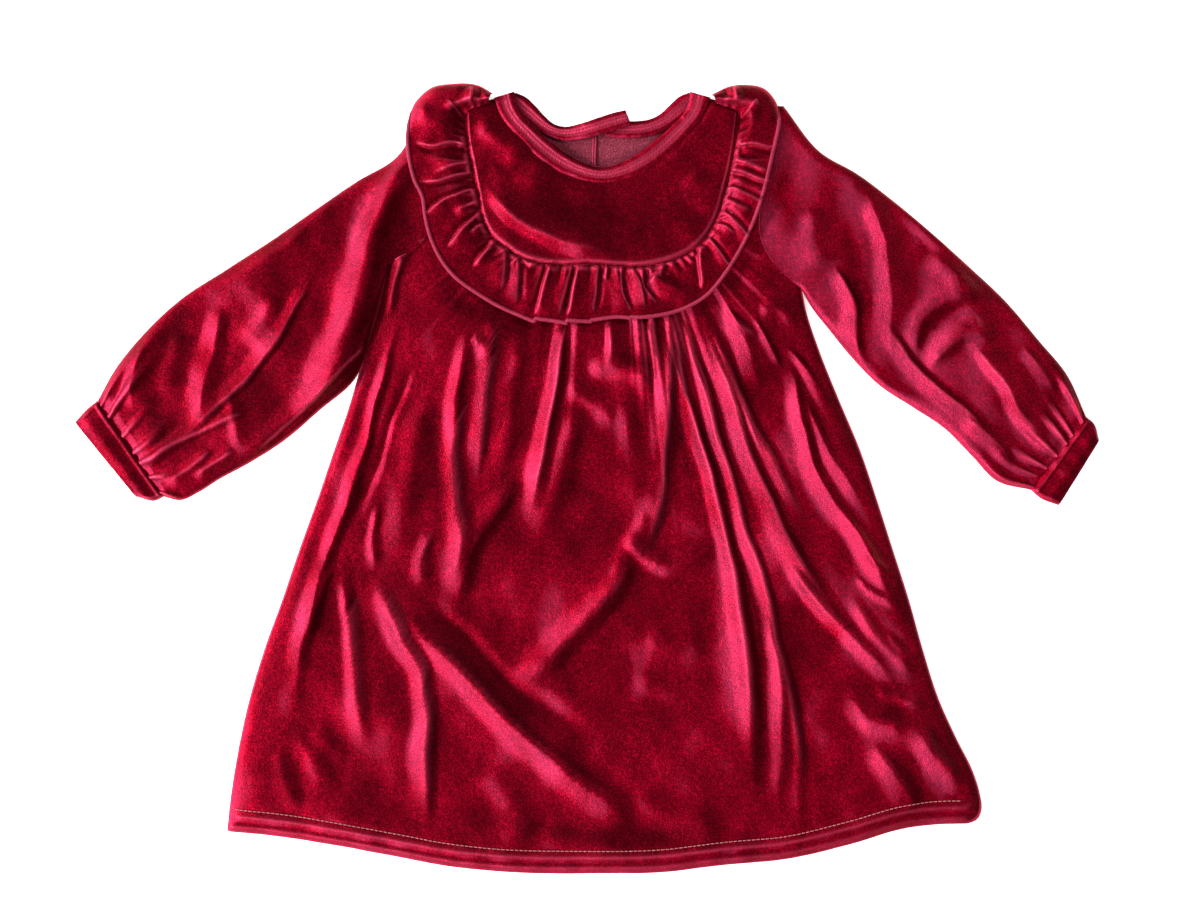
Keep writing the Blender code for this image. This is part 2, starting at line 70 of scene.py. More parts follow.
BACK_EDGE_RIGHT = [
    (70.9, 270.2), (64.6, 267.4), (57.6, 261.1), (50.6, 254.8), (43.0, 251.4),
    (34.5, 250.3), (24.5, 250.4), (14.0, 251.6),
]
SIDE_LEFT = [
    (-139.3, 149.8), (-144.6, 124.6), (-154.7, 89.6), (-164.5, 54.6), (-176.4, 19.6),
    (-188.3, -15.4), (-200.9, -50.4), (-212.8, -85.4), (-225.4, -120.4), (-235.9, -155.4),
    (-243.6, -190.4), (-249.2, -225.4), (-251.5, -247.1),
]
SIDE_RIGHT = [
    (149.6, 133.0), (152.6, 117.6), (161.7, 89.6), (175.7, 54.6), (190.4, 19.6),
    (202.3, -15.4), (213.5, -50.4), (224.7, -85.4), (234.5, -120.4), (245.7, -155.4),
    (259.0, -184.8), (269.5, -205.8), (274.6, -222.0), (275.8, -231.6), (273.6, -238.4),
    (266.6, -241.6),
]
HEM = [
    (-251.5, -247.1), (-221.9, -249.9), (-179.9, -256.2), (-137.9, -263.9), (-95.9, -271.6),
    (-46.9, -276.0), (9.1, -276.5), (51.1, -275.8), (93.1, -270.9), (142.1, -266.0),
    (184.1, -256.2), (226.1, -244.3), (248.0, -242.0), (266.6, -241.6),
]
ARMHOLE_CURVE = [(0.0, 0.0), (0.25, 17.0), (0.5, 23.0), (0.75, 23.5), (0.9, 13.0), (1.0, 0.0)]
ARMHOLE_LEFT = ((-113.0, 261.0), (-139.3, 149.8))
ARMHOLE_RIGHT = ((137.2, 261.0), (149.6, 133.0))
SHOULDER_LEFT = [(-65.1, 266.5), (-84.7, 261.5), (-113.0, 262.5)]
SHOULDER_RIGHT = [(86.3, 266.5), (105.7, 261.5), (137.2, 262.5)]

# Spans of the skirt; columns: outline, start and end along the yoke seam, share of the columns.
SKIRT_SPANS = [
    ("armhole_left", 0.0, 0.24, 0.08),
    ("side_left", 0.24, 0.39, 0.19),
    ("hem", 0.39, 0.63, 0.46),
    ("side_right", 0.63, 0.77, 0.19),
    ("armhole_right", 0.77, 1.0, 0.08),
]
# Ruffle; columns: x, y at the seam, x, y at the free edge.
RUFFLE = [
    (-68.6, 262.6, -66.4, 269.2),
    (-75.0, 259.8, -76.5, 274.8),
    (-81.0, 258.0, -93.0, 276.2),
    (-85.3, 254.0, -110.0, 273.6),
    (-85.2, 248.0, -121.1, 263.6),
    (-84.2, 236.6, -125.3, 243.0),
    (-80.8, 218.6, -123.0, 220.5),
    (-78.8, 208.6, -119.7, 207.9),
    (-77.1, 200.9, -114.8, 196.6),
    (-74.6, 190.0, -113.4, 183.0),
    (-71.9, 178.6, -110.9, 171.5),
    (-67.4, 169.6, -104.3, 156.8),
    (-58.0, 161.8, -92.4, 141.6),
    (-47.4, 154.6, -77.0, 129.7),
    (-38.0, 151.6, -59.0, 118.6),
    (-27.3, 149.6, -36.4, 111.4),
    (-13.0, 149.4, -16.1, 110.9),
    (0.7, 149.5, 0.7, 110.8),
    (14.0, 148.8, 19.5, 112.6),
    (28.0, 148.0, 38.5, 111.6),
    (39.0, 147.7, 55.3, 114.4),
    (53.6, 150.6, 72.1, 121.1),
    (64.0, 154.4, 84.0, 128.8),
    (72.7, 158.2, 94.5, 140.0),
    (82.7, 167.6, 105.7, 156.1),
    (88.2, 176.0, 114.1, 173.6),
    (91.2, 182.0, 121.1, 194.6),
    (96.9, 200.9, 126.7, 215.6),
    (101.1, 217.7, 131.6, 233.2),
    (104.6, 236.6, 134.4, 249.0),
    (106.6, 248.0, 132.0, 263.6),
    (106.8, 254.0, 124.0, 272.6),
    (102.4, 258.0, 111.0, 275.4),
    (96.2, 259.8, 97.6, 273.8),
    (89.8, 262.6, 87.6, 269.2),
]
# Sleeves, shoulder to wrist; columns: upper edge x, y, lower edge x, y, share of the armhole curve.
SLEEVE_LEFT = [
    (-113.6, 261.5, -139.6, 149.4, 1.0),
    (-134.4, 224.7, -149.0, 112.0, 0.45),
    (-161.0, 208.6, -163.6, 68.6, 0.12),
    (-191.8, 187.6, -187.6, 47.6, 0.0),
    (-221.9, 166.6, -212.1, 26.6, 0.0),
    (-253.4, 146.3, -235.9, 11.2, 0.0),
    (-286.3, 124.6, -259.0, -1.4, 0.0),
    (-312.9, 99.4, -272.3, -9.8, 0.0),
    (-331.8, 75.6, -286.0, -15.7, 0.0),
    (-343.4, 54.6, -297.4, -13.0, 0.0),
]
SLEEVE_RIGHT = [
    (137.8, 261.3, 150.2, 132.6, 1.0),
    (164.5, 228.2, 157.8, 119.4, 0.45),
    (189.7, 213.5, 170.1, 103.7, 0.12),
    (214.9, 194.6, 185.6, 84.7, 0.0),
    (240.1, 173.6, 205.1, 65.1, 0.0),
    (268.1, 148.4, 229.6, 49.0, 0.0),
    (293.3, 124.6, 250.6, 35.0, 0.0),
    (317.1, 96.6, 270.0, 15.6, 0.0),
    (336.7, 72.8, 288.0, -2.3, 0.0),
    (350.4, 43.0, 312.0, -8.6, 0.0),
]
CUFF_LEFT = [(-342.4, 55.2, -296.0, -12.4), (-350.6, 48.8, -303.6, -16.0), (-359.0, 39.8, -315.6, -13.4)]
CUFF_RIGHT = [(349.8, 43.4, 311.4, -8.4), (355.8, 38.4, 319.0, -14.6), (359.2, 27.4, 330.4, -19.0)]

# ---------------------------------------------------------------- folds, millimetres
# Columns: height, reach on the crease's left hand and on its right hand as it runs, sharpness
# (2 is round, less is sharper), then the crease as x, y points. A crease that runs down the page
# has the picture's right on its left hand.
SKIRT_FOLDS = [
    (2.0, 4, 6, 1.5, [(-150, 96), (-172, 24), (-190, -22), (-211, -79), (-226, -122)]),
    (3.2, 5, 8, 1.5, [(-131, 120), (-140, 80), (-150, 44), (-166, -15), (-188, -76), (-201, -130), (-208, -180)]),
    (-1.4, 4, 5, 1.6, [(-121, 83), (-140, 30), (-153, -6), (-168, -40)]),
    (2.4, 11, 13, 2.0, [(-110, 70), (-120, 20), (-131, -36), (-142, -66)]),
    (4.4, 6, 9, 1.4, [(-83, 110), (-86, 84), (-91, 53), (-91, -13), (-87, -36), (-94, -80)]),
    (3.0, 4, 7, 1.3, [(-80, 100), (-72, 93), (-66, 86)]),
    (3.2, 3, 9, 1.3, [(-63, 118), (-67, 86), (-72, 40), (-77, -4)]),
    (2.6, 9, 10, 2.0, [(-48, 110), (-50, 70), (-54, 30), (-66, -8)]),
    (4.8, 6, 8, 1.3, [(-13, 114), (-18, 85), (-23, 59), (-30, 23), (-36, -8), (-41, -30)]),
    (3.0, 8, 4, 1.5, [(14, 110), (17, 95), (14, 80)]),
    (2.6, 5, 5, 1.5, [(42, 110), (44, 96), (41, 86)]),
    (4.6, 8, 10, 1.6, [(-2, 76), (18, 80), (34, 76), (50, 68)]),
    (3.4, 12, 9, 1.7, [(-16, 66), (0, 57), (14, 45), (18, 34)]),
    (2.6, 12, 12, 2.0, [(26, 66), (30, 36), (34, 0), (40, -30)]),
    (3.0, 10, 12, 2.0, [(-4, 52), (-14, 20), (-22, -10), (-38, -44)]),
    (5.0, 3.0, 12, 1.4, [(57, 114), (58, 90), (58, 71), (57, 40), (55, 18), (53, -13), (47, -38), (34, -60)]),
    (5.6, 6, 8, 1.3, [(60, 90), (66, 64), (73, 46), (84, 11), (93, -24), (100, -54), (106, -85), (111, -120), (115, -160), (119, -210)]),
    (3.6, 4, 8, 1.3, [(68, 118), (79, 80), (88, 44), (100, 4), (111, -36), (119, -57), (133, -111), (143, -151), (148, -183), (149, -230), (149, -268)]),
    (3.0, 6, 9, 1.6, [(126, -92), (134, -130), (137, -180), (134, -240)]),
    (4.6, 5, 10, 1.4, [(80, 118), (90, 88), (98, 67), (106, 42), (113, 22), (123, -3), (134, -30), (150, -58), (171, -90), (192, -116)]),
    (3.2, 4, 8, 1.3, [(90, 110), (101, 80), (112, 50), (121, 30), (131, 12), (143, -15), (154, -38)]),
    (4.4, 6, 10, 1.4, [(137, 92), (145, 65), (152, 32), (163, 0), (184, -32), (208, -60), (228, -90)]),
    (3.0, 5, 7, 1.3, [(134, 97), (146, 86), (160, 66), (176, 42), (190, 12)]),
    (3.8, 9, 13, 1.7, [(96, 112), (108, 98), (117, 80), (122, 60)]),
    (3.0, 4, 7, 1.3, [(97, 121), (106, 107), (120, 99)]),
    (3.0, 3, 8, 1.3, [(117, 112), (128, 92), (137, 76)]),
    (2.2, 8, 8, 1.6, [(120, 116), (136, 118), (150, 106)]),
    (5.6, 4.4, 10.5, 1.3, [(-147, -66), (-140, -86), (-132, -104), (-125, -117), (-115, -132), (-112, -150), (-111.5, -200), (-112, -250)]),
    (7.0, 7, 13, 1.3, [(-133, -90), (-112, -112), (-85, -136), (-59, -165), (-32, -188), (-4, -210), (24, -232), (48, -250)]),
    (-3.2, 9, 9, 2.0, [(-116, -84), (-88, -108), (-54, -146), (-14, -170), (10, -188)]),
    (6.6, 9, 13, 1.6, [(34, -58), (14, -84), (-8, -106), (-30, -128), (-56, -146)]),
    (4.4, 10, 7, 1.4, [(24, -40), (41, -55), (56, -62), (78, -54), (94, -43)]),
    (2.8, 9, 9, 2.0, [(46, -26), (30, -46), (18, -74)]),
    (3.8, 6, 8, 1.4, [(141, -57), (161, -86), (179, -104), (198, -122), (218, -145)]),
    (3.4, 6, 8, 1.5, [(184, -82), (206, -113), (234, -140)]),
    (3.6, 6, 7, 1.5, [(-170, -62), (-165, -110), (-160, -150), (-156, -190)]),
    (4.2, 7, 13, 1.9, [(-44, -2), (-60, -18), (-78, -44), (-88, -72), (-95, -98)]),
    (4.6, 6, 13, 1.5, [(232, -176), (243, -192), (258, -204), (268, -210)]),
    (3.8, 7, 14, 1.6, [(200, -186), (214, -204), (226, -222), (232, -236)]),
    (3.2, 8, 14, 1.7, [(182, -150), (196, -164), (222, -172), (246, -180)]),
    (1.8, 12, 12, 2.0, [(-190, -170), (-188, -205), (-192, -240)]),
    (2.0, 12, 12, 2.0, [(40, -110), (60, -114), (84, -108)]),
    (1.8, 11, 11, 2.0, [(30, -140), (54, -146), (90, -140)]),
    (2.4, 15, 15, 2.0, [(30, -222), (60, -236), (100, -240)]),
    (2.2, 14, 14, 2.0, [(-70, -200), (-54, -226), (-36, -252)]),
]
SKIRT_FOLDS += [
    (3.4, 8, 19, 1.6, [(98, -50), (106, -92), (111, -140), (115, -190), (117, -236)]),
    (2.0, 2.6, 4.5, 1.3, [(68, 112), (78, 72), (90, 30), (96, 6)]),
    (2.0, 2.6, 4.5, 1.3, [(86, 114), (98, 80), (112, 44), (124, 14)]),
    (1.8, 2.4, 4, 1.3, [(61, 112), (65, 82), (69, 56)]),
    (2.2, 5, 8, 1.6, [(150, 60), (164, 30), (180, 2), (196, -22)]),
    (2.4, 5, 9, 1.6, [(176, -20), (192, -44), (206, -68), (216, -92)]),
    (2.4, 3, 6, 1.4, [(-176, -60), (-186, -84), (-196, -112)]),
    (2.2, 3, 5, 1.4, [(-146, -18), (-150, -44), (-148, -66)]),
    (2.4, 6, 7, 1.7, [(-108, -36), (-116, -58), (-112, -78)]),
]
SKIRT_FOLDS += [
    (4.6, 3.6, 8.0, 1.6, [(-127, 168), (-130, 152), (-135, 136), (-141, 112)]),
]
SKIRT_FOLDS += [
    (2.4, 3, 4.5, 1.5, [(194, -50), (208, -62), (224, -70)]),
    (2.4, 3, 4.5, 1.5, [(188, -70), (204, -82), (222, -88)]),
    (2.2, 3, 5, 1.5, [(210, -108), (224, -122), (238, -128)]),
    (2.6, 4, 6, 1.6, [(200, -148), (218, -152), (238, -160)]),
    (2.2, 4, 5, 1.6, [(190, -170), (206, -170), (224, -177)]),
    (2.0, 5, 8, 2.2, [(-218, -188), (-210, -211), (-199, -234)]),
    (1.4, 6, 8, 2.2, [(-205, -177), (-190, -198), (-173, -219)]),
    (1.2, 6, 7, 2.2, [(-190, -168), (-180, -186), (-168, -204)]),
]
# Painted shade (below zero) and painted light (above zero), laid as streaks on the cloth's colour; columns as for the
# folds.
PAINTED_SHADE_AND_LIGHT = [
    (-0.60, 9, 9, 2.0, [(-122, 202), (-131, 160), (-150, 104), (-166, 72)]),
    (-0.25, 10, 10, 2.0, [(-143, 225), (-185, 183), (-236, 151)]),
    (-0.45, 8, 9, 2.0, [(-280, 124), (-290, 100), (-296, 84)]),
    (-0.60, 8, 8, 2.0, [(-306, 60), (-303, 38), (-298, 16)]),
    (-0.40, 7, 8, 2.0, [(-214, 84), (-228, 66), (-248, 34)]),
    (-0.45, 7, 7, 2.0, [(-103, 132), (-75, 113), (-40, 103), (-26, 102)]),
    (-0.35, 12, 12, 2.0, [(-131, 62), (-112, 26), (-103, -22)]),
    (-0.35, 10, 10, 2.0, [(-50, 70), (-57, 27), (-47, -30)]),
    (-0.35, 14, 14, 2.0, [(-22, 4), (9, -28), (-18, -60)]),
    (-0.60, 11, 11, 2.0, [(-113, -90), (-82, -120), (-56, -150), (-33, -169)]),
    (-0.50, 10, 10, 2.0, [(-84, -230), (-33, -246), (23, -250), (108, -250)]),
    (-0.40, 7, 7, 2.0, [(-222, -196), (-210, -214), (-198, -232)]),
    (-0.50, 6, 6, 2.0, [(59, 100), (64, 60), (71, 14)]),
    (-0.30, 10, 10, 2.0, [(46, 52), (76, 0), (92, -44)]),
    (-0.35, 10, 10, 2.0, [(138, -86), (160, -102), (184, -118)]),
    (-0.40, 7, 7, 2.0, [(214, -70), (220, -90), (226, -108)]),
    (-0.50, 8, 8, 2.0, [(174, -140), (196, -148), (212, -158), (216, -178)]),
    (-0.35, 8, 8, 2.0, [(172, -198), (182, -216), (191, -234)]),
    (0.25, 10, 10, 2.0, [(236, -200), (246, -214), (256, -226)]),
    (0.20, 10, 10, 2.0, [(104, -100), (112, -150), (118, -190)]),
    (-0.50, 6, 6, 2.0, [(180, 184), (188, 132), (193, 100)]),
    (-0.45, 5, 5, 2.0, [(238, 96), (246, 112), (262, 122), (286, 124)]),
    (-0.40, 8, 8, 2.0, [(320, 84), (334, 68), (348, 54)]),
    (-0.45, 8, 8, 2.0, [(286, 62), (300, 48), (314, 36)]),
    (-0.40, 13, 13, 2.0, [(-156, 100), (-176, 34), (-200, -40), (-226, -110), (-244, -180), (-250, -232)]),
    (0.30, 36, 36, 2.0, [(140, 70), (176, -20), (212, -120), (240, -200)]),
    (-0.25, 16, 16, 2.0, [(-40, 212), (-10, 196), (20, 178), (50, 166)]),
    (-0.60, 9, 9, 2.0, [(-97, 260), (-92, 250), (-82, 240)]),
    (-0.60, 9, 9, 2.0, [(118, 260), (113, 250), (103, 240)]),
    (0.35, 6, 6, 2.0, [(-126, 246), (-119, 262), (-106, 271), (-88, 275)]),
    (0.35, 6, 6, 2.0, [(134, 250), (130, 264), (120, 272), (104, 275)]),
]
SLEEVE_LEFT_FOLDS = [
    (9.2, 13, 16, 2.0, [(-122, 234), (-131, 210), (-145, 183), (-155, 143), (-164, 109), (-186, 61), (-212, 28)]),
    (3.6, 3.2, 9, 1.2, [(-190, 146), (-196, 134), (-216, 97), (-235, 73), (-262, 46), (-290, 22)]),
    (4.0, 8, 12, 1.5, [(-254, 122), (-259, 98), (-265, 73), (-272, 34)]),
    (4.4, 14, 7, 1.5, [(-300, 112), (-312, 88), (-317, 66), (-318, 44)]),
    (3.6, 4, 8, 1.3, [(-238, 46), (-250, 41), (-268, 33), (-293, 21), (-318, 1)]),
    (1.6, 7, 6, 2.0, [(-251, 60), (-247, 42), (-241, 18)]),
    (3.6, 1.6, 11, 1.2, [(-148, 98), (-163, 84), (-180, 66), (-210, 37), (-236, 14), (-246, 6)]),
    (2.6, 14, 16, 2.0, [(-196, 178), (-224, 148), (-238, 120)]),
    (2.4, 10, 10, 2.0, [(-218, 128), (-226, 108), (-240, 90)]),
    (2.0, 9, 10, 1.9, [(-284, 104), (-290, 80), (-298, 56)]),
    (2.4, 5, 5, 1.6, [(-262, 20), (-278, 8), (-296, -4)]),
    (2.2, 5, 5, 1.6, [(-246, 20), (-262, 10), (-276, 0)]),
]
SLEEVE_RIGHT_FOLDS = [
    (4.6, 15, 10, 1.6, [(194, 206), (201, 186), (211, 155), (213, 122), (211, 78)]),
    (4.8, 4.5, 10, 1.5, [(172, 150), (185, 124), (188, 100), (192, 74)]),
    (4.2, 5, 10, 1.4, [(208, 112), (214, 101), (228, 79), (241, 66), (264, 48), (284, 26)]),
    (4.8, 12, 8, 2.0, [(228, 84), (233, 108), (246, 122), (262, 129), (276, 126)]),
    (5.2, 11, 7, 2.0, [(238, 76), (248, 88), (262, 99), (278, 104), (286, 112)]),
    (5.0, 16, 7, 1.3, [(268, 98), (276, 86), (290, 69), (303, 45), (318, 29), (326, 13)]),
    (3.2, 12, 12, 2.0, [(236, 160), (254, 146), (272, 122), (284, 104)]),
    (1.2, 16, 16, 2.0, [(178, 206), (200, 188), (232, 168)]),
    (3.6, 7, 10, 1.5, [(262, 44), (280, 30), (300, 8)]),
    (3.0, 8, 8, 1.6, [(304, 92), (318, 76), (330, 56)]),
    (2.6, 12, 12, 2.0, [(160, 190), (160, 168), (164, 146)]),
]
YOKE_FOLDS = [
    (5.0, 26, 8, 1.8, [(-70, 206), (-62, 194), (-44, 178), (-22, 168), (6, 161), (26, 160)]),
    (3.0, 9, 10, 2.0, [(-78, 250), (-64, 240), (-52, 228), (-42, 216)]),
    (1.4, 9, 9, 2.0, [(-70, 214), (-50, 212), (-24, 206)]),
    (-1.2, 14, 14, 2.0, [(-44, 200), (-10, 188), (30, 184)]),
    (1.6, 12, 12, 2.0, [(70, 214), (80, 200), (76, 184)]),
]


# ---------------------------------------------------------------- geometry helpers
def along(table, s):
    p = np.array(table, float)
    t = np.concatenate([[0.0], np.cumsum(np.linalg.norm(np.diff(p[:, :2], axis=0), axis=1))])
    t /= t[-1]
    m = np.gradient(p, t, axis=0) if len(t) > 2 else np.tile(p[1] - p[0], (2, 1))
    s = np.clip(np.asarray(s, float), 0.0, 1.0)
    i = np.clip(np.searchsorted(t, s, side="right") - 1, 0, len(t) - 2)
    h = (t[i + 1] - t[i])[:, None]
    f = (s - t[i])[:, None] / h
    return (
        (2 * f**3 - 3 * f**2 + 1) * p[i]
        + (f**3 - 2 * f**2 + f) * h * m[i]
        + (3 * f**2 - 2 * f**3) * p[i + 1]
        + (f**3 - f**2) * h * m[i + 1]
    )


def both_halves(half):
    return half + [(2 * MIDDLE - x, y) for x, y in half[-2::-1]]


def smooth(f):
    f = np.clip(f, 0.0, 1.0)
    return f * f * (3 - 2 * f)


def nearest(path, x, y):
    best = np.full(np.shape(x), 1e9)
    side = np.zeros(np.shape(x))
    way = np.zeros(np.shape(x))
    count = len(path) - 1
    for k in range(count):
        a, b = path[k], path[k + 1]
        dx, dy = b - a
        f = np.clip(((x - a[0]) * dx + (y - a[1]) * dy) / max(dx * dx + dy * dy, 1e-9), 0, 1)
        ex, ey = x - a[0] - f * dx, y - a[1] - f * dy
        d = np.hypot(ex, ey)
        closer = d < best
        best = np.where(closer, d, best)
        side = np.where(closer, dx * ey - dy * ex, side)
        way = np.where(closer, (k + f) / count, way)
    return best, side, way


class Waves:
    """Smooth noise: a sum of plane waves with seeded directions, about one hill per size."""

    def __init__(self, seed, size, count=22, stretch=(1.0, 1.0)):
        rng = np.random.default_rng(seed)
        angle = rng.uniform(0, 2 * math.pi, count)
        length = size * rng.uniform(0.7, 1.7, count)
        self.kx = 2 * math.pi * np.cos(angle) / length / stretch[0]
        self.ky = 2 * math.pi * np.sin(angle) / length / stretch[1]
        self.phase = rng.uniform(0, 2 * math.pi, count)
        self.scale = 1.0 / math.sqrt(count / 2)

    def __call__(self, x, y):
        z = np.zeros(np.shape(x))
        for kx, ky, phase in zip(self.kx, self.ky, self.phase):
            z += np.cos(kx * x + ky * y + phase)
        return z * self.scale


WANDER_X, WANDER_Y = Waves(11, 46), Waves(12, 46)
WANDER_FX, WANDER_FY = Waves(13, 13), Waves(14, 13)
HILLS, DENTS, CRINKLE = Waves(21, 84), Waves(22, 26), Waves(23, 9)
STROKES = Waves(31, 38, 26, (0.6, 1.5))


def fold_height(folds, x, y, narrow=1.0, ends=(0.22, 0.28)):
    """The folds' heights at x, y. Creases wander a little, and each dies away at its ends."""
    wx = x + 0.5 * WANDER_X(x, y) + 0.12 * WANDER_FX(x, y)
    wy = y + 0.5 * WANDER_Y(x, y) + 0.12 * WANDER_FY(x, y)
    z = np.zeros(np.shape(x))
    for height, left, right, sharp, crease in folds:
        path = along(crease, np.linspace(0, 1, 5 * len(crease) + 3))
        low, high = path.min(0) - 3.2 * max(left, right), path.max(0) + 3.2 * max(left, right)
        near = (wx > low[0]) & (wx < high[0]) & (wy > low[1]) & (wy < high[1])
        if not near.any():
            continue
        d, side, way = nearest(path, wx[near], wy[near])
        reach = narrow * np.where(side > 0, left, right) * (0.8 + 0.4 * smooth(way * 1.2))
        t = np.sqrt((d / reach) ** 2 + 0.0016 * sharp**2) * 0.96
        if sharp < 1.9:  # a straight slope up to a narrow crest
            k = 9.0
            profile = np.logaddexp(0.0, k * (1 - t)) / k
        else:
            profile = np.exp(-1.9 * t * t)
        z[near] += height * profile * smooth(way / ends[0]) * smooth((1 - way) / ends[1])
    return z


def armhole(ends, share, w):
    a, b = np.array(ends, float)
    w = np.asarray(w, float)
    run = (b - a) / np.linalg.norm(b - a)
    inward = np.array([-run[1], run[0]])
    if (inward[0] > 0) != (a[0] < MIDDLE):
        inward = -inward
    ways, depths = np.array(ARMHOLE_CURVE).T
    slopes = np.gradient(depths, ways)
    i = np.clip(np.searchsorted(ways, w, side="right") - 1, 0, len(ways) - 2)
    h = ways[i + 1] - ways[i]
    f = (w - ways[i]) / h
    depth = (
        (2 * f**3 - 3 * f**2 + 1) * depths[i]
        + (f**3 - 2 * f**2 + f) * h * slopes[i]
        + (3 * f**2 - 2 * f**3) * depths[i + 1]
        + (f**3 - f**2) * h * slopes[i + 1]
    ) * share ** (1 + 14 * w**2)
    return a + (b - a) * w[:, None] + inward * depth[:, None]


CLOSED_EDGES = [
    along(SHOULDER_LEFT, np.linspace(0, 1, 6)),
    along(SIDE_LEFT, np.linspace(0, 1, 40)),
    along(HEM, np.linspace(0, 1, 40)),
    along(SIDE_RIGHT, np.linspace(0, 1, 40)),
    along(SHOULDER_RIGHT, np.linspace(0, 1, 6)),
]
YOKE_PATH = along(YOKE_SEAM, np.linspace(0, 1, 60))
# The same seam without its small dents, for the gathers to fan out from.
GATHER_PATH = along(
    YOKE_SEAM[:8] + [(-27.3, 150.4), (0.7, 148.6), (20.0, 148.3), (38.5, 149.2)] + YOKE_SEAM[12:], np.linspace(0, 1, 60)
)


def front_base(x, y, edges=CLOSED_EDGES):
    d = np.minimum.reduce([nearest(edge, x, y)[0] for edge in edges])
    return 2.9 + 3.2 * (1 - np.exp(-d / 4.0))


# These crest values mark where a painted highlight goes along sharp bends.
def crests(points, wrap):
    """How sharply the cloth bends over at each point of a grid: 1 along a folded edge, 0 where flat."""
    z = points[..., 2]
    found = np.zeros(z.shape)
    for axis in (0, 1):
        closed = wrap and axis == 1
        before, after = np.roll(points, 1, axis), np.roll(points, -1, axis)
        gap = np.linalg.norm(after[..., :2] - before[..., :2], axis=-1) / 2 + 1e-6
        bend = (z - 0.5 * (before[..., 2] + after[..., 2])) / np.maximum(gap, 0.5) ** 2
        if not closed:
            index = [slice(None)] * 2
            for end in (0, -1):
                index[axis] = end
                bend[tuple(index)] = 0.0
        found = np.maximum(found, bend)
    found = smooth((found - 0.06) / 0.42)
    for _ in range(4):
        found = 0.4 * found + 0.15 * (np.roll(found, 1, 1) + np.roll(found, -1, 1) + np.roll(found, 1, 0) + np.roll(found, -1, 0))
    return np.clip(found * 1.4, 0, 1)


def paint_light_and_shade(mesh, shift=0.0, crest_highlight=None):
    """Painted light and shade at each point: lighter where the cloth faces left and down towards the key lights, darker
    where it faces away, with random streaks and the painted shade and light streaks added; shift lightens or darkens
    the whole piece. Also stores where a painted highlight goes along sharp crests.
    """
    count = len(mesh.vertices)
    normals = np.empty(count * 3, np.float32)
    mesh.vertices.foreach_get("normal", normals)
    normals = normals.reshape(-1, 3)
    places = np.empty(count * 3, np.float32)
    mesh.vertices.foreach_get("co", places)
    x, y = places.reshape(-1, 3)[:, 0] / MM, places.reshape(-1, 3)[:, 1] / MM
    # painted light: how far the cloth faces the key lights, left and down
    facing_light = -0.88 * normals[:, 0] - 0.48 * normals[:, 1]
    painted_light_and_nap = 0.5 + shift + 0.5 * np.tanh(facing_light / 0.34) + 0.07 * STROKES(x, y) + fold_height(PAINTED_SHADE_AND_LIGHT, x, y, 1.1)
    layer = mesh.attributes.new("painted_light_and_nap", "FLOAT", "POINT")
    layer.data.foreach_set("value", np.clip(painted_light_and_nap, 0, 1).astype(np.float32))
    layer = mesh.attributes.new("crest_highlight", "FLOAT", "POINT")
    layer.data.foreach_set("value", (np.zeros(count) if crest_highlight is None else crest_highlight.ravel()).astype(np.float32))


def grid_mesh(name, points, material, wrap=False, wall=0.0, keep_side=None, shift=0.0):
    """A grid of points in millimetres as a smooth mesh, facing up or outwards."""
    rows, columns = points.shape[:2]
    r = np.arange(rows - 1)[:, None]
    c = np.arange(columns if wrap else columns - 1)[None, :]
    d = (c + 1) % columns
    quads = np.stack(
        [r * columns + c, r * columns + d, (r + 1) * columns + d, (r + 1) * columns + c], -1
    ).reshape(-1, 4)
    co = points.reshape(-1, 3) * MM
    p = co[quads]
    normal = np.cross(p[:, 2] - p[:, 0], p[:, 3] - p[:, 1])
    if keep_side is not None:
        up = keep_side
    elif wrap:
        up = ((p.mean(1)[:, 2] - co[:, 2].mean()) * normal[:, 2]).sum() > 0
    else:
        up = normal[:, 2].sum() > 0
    if not up:
        quads = quads[:, ::-1]
    mesh = bpy.data.meshes.new(name)
    mesh.vertices.add(len(co))
    mesh.vertices.foreach_set("co", co.astype(np.float32).ravel())
    mesh.loops.add(quads.size)
    mesh.loops.foreach_set("vertex_index", quads.astype(np.int32).ravel())
    mesh.polygons.add(len(quads))
    mesh.polygons.foreach_set("loop_start", np.arange(0, quads.size, 4, dtype=np.int32))
    mesh.polygons.foreach_set("loop_total", np.full(len(quads), 4, np.int32))
    mesh.update(calc_edges=True)
    mesh.shade_smooth()
    paint_light_and_shade(mesh, shift, crests(points, wrap))
    mesh.materials.append(material)
    obj = bpy.data.objects.new(name, mesh)
    bpy.context.scene.collection.objects.link(obj)
    if wall:
        thick = obj.modifiers.new("wall", "SOLIDIFY")
        thick.thickness = wall * MM
        thick.offset = -1.0
    return obj


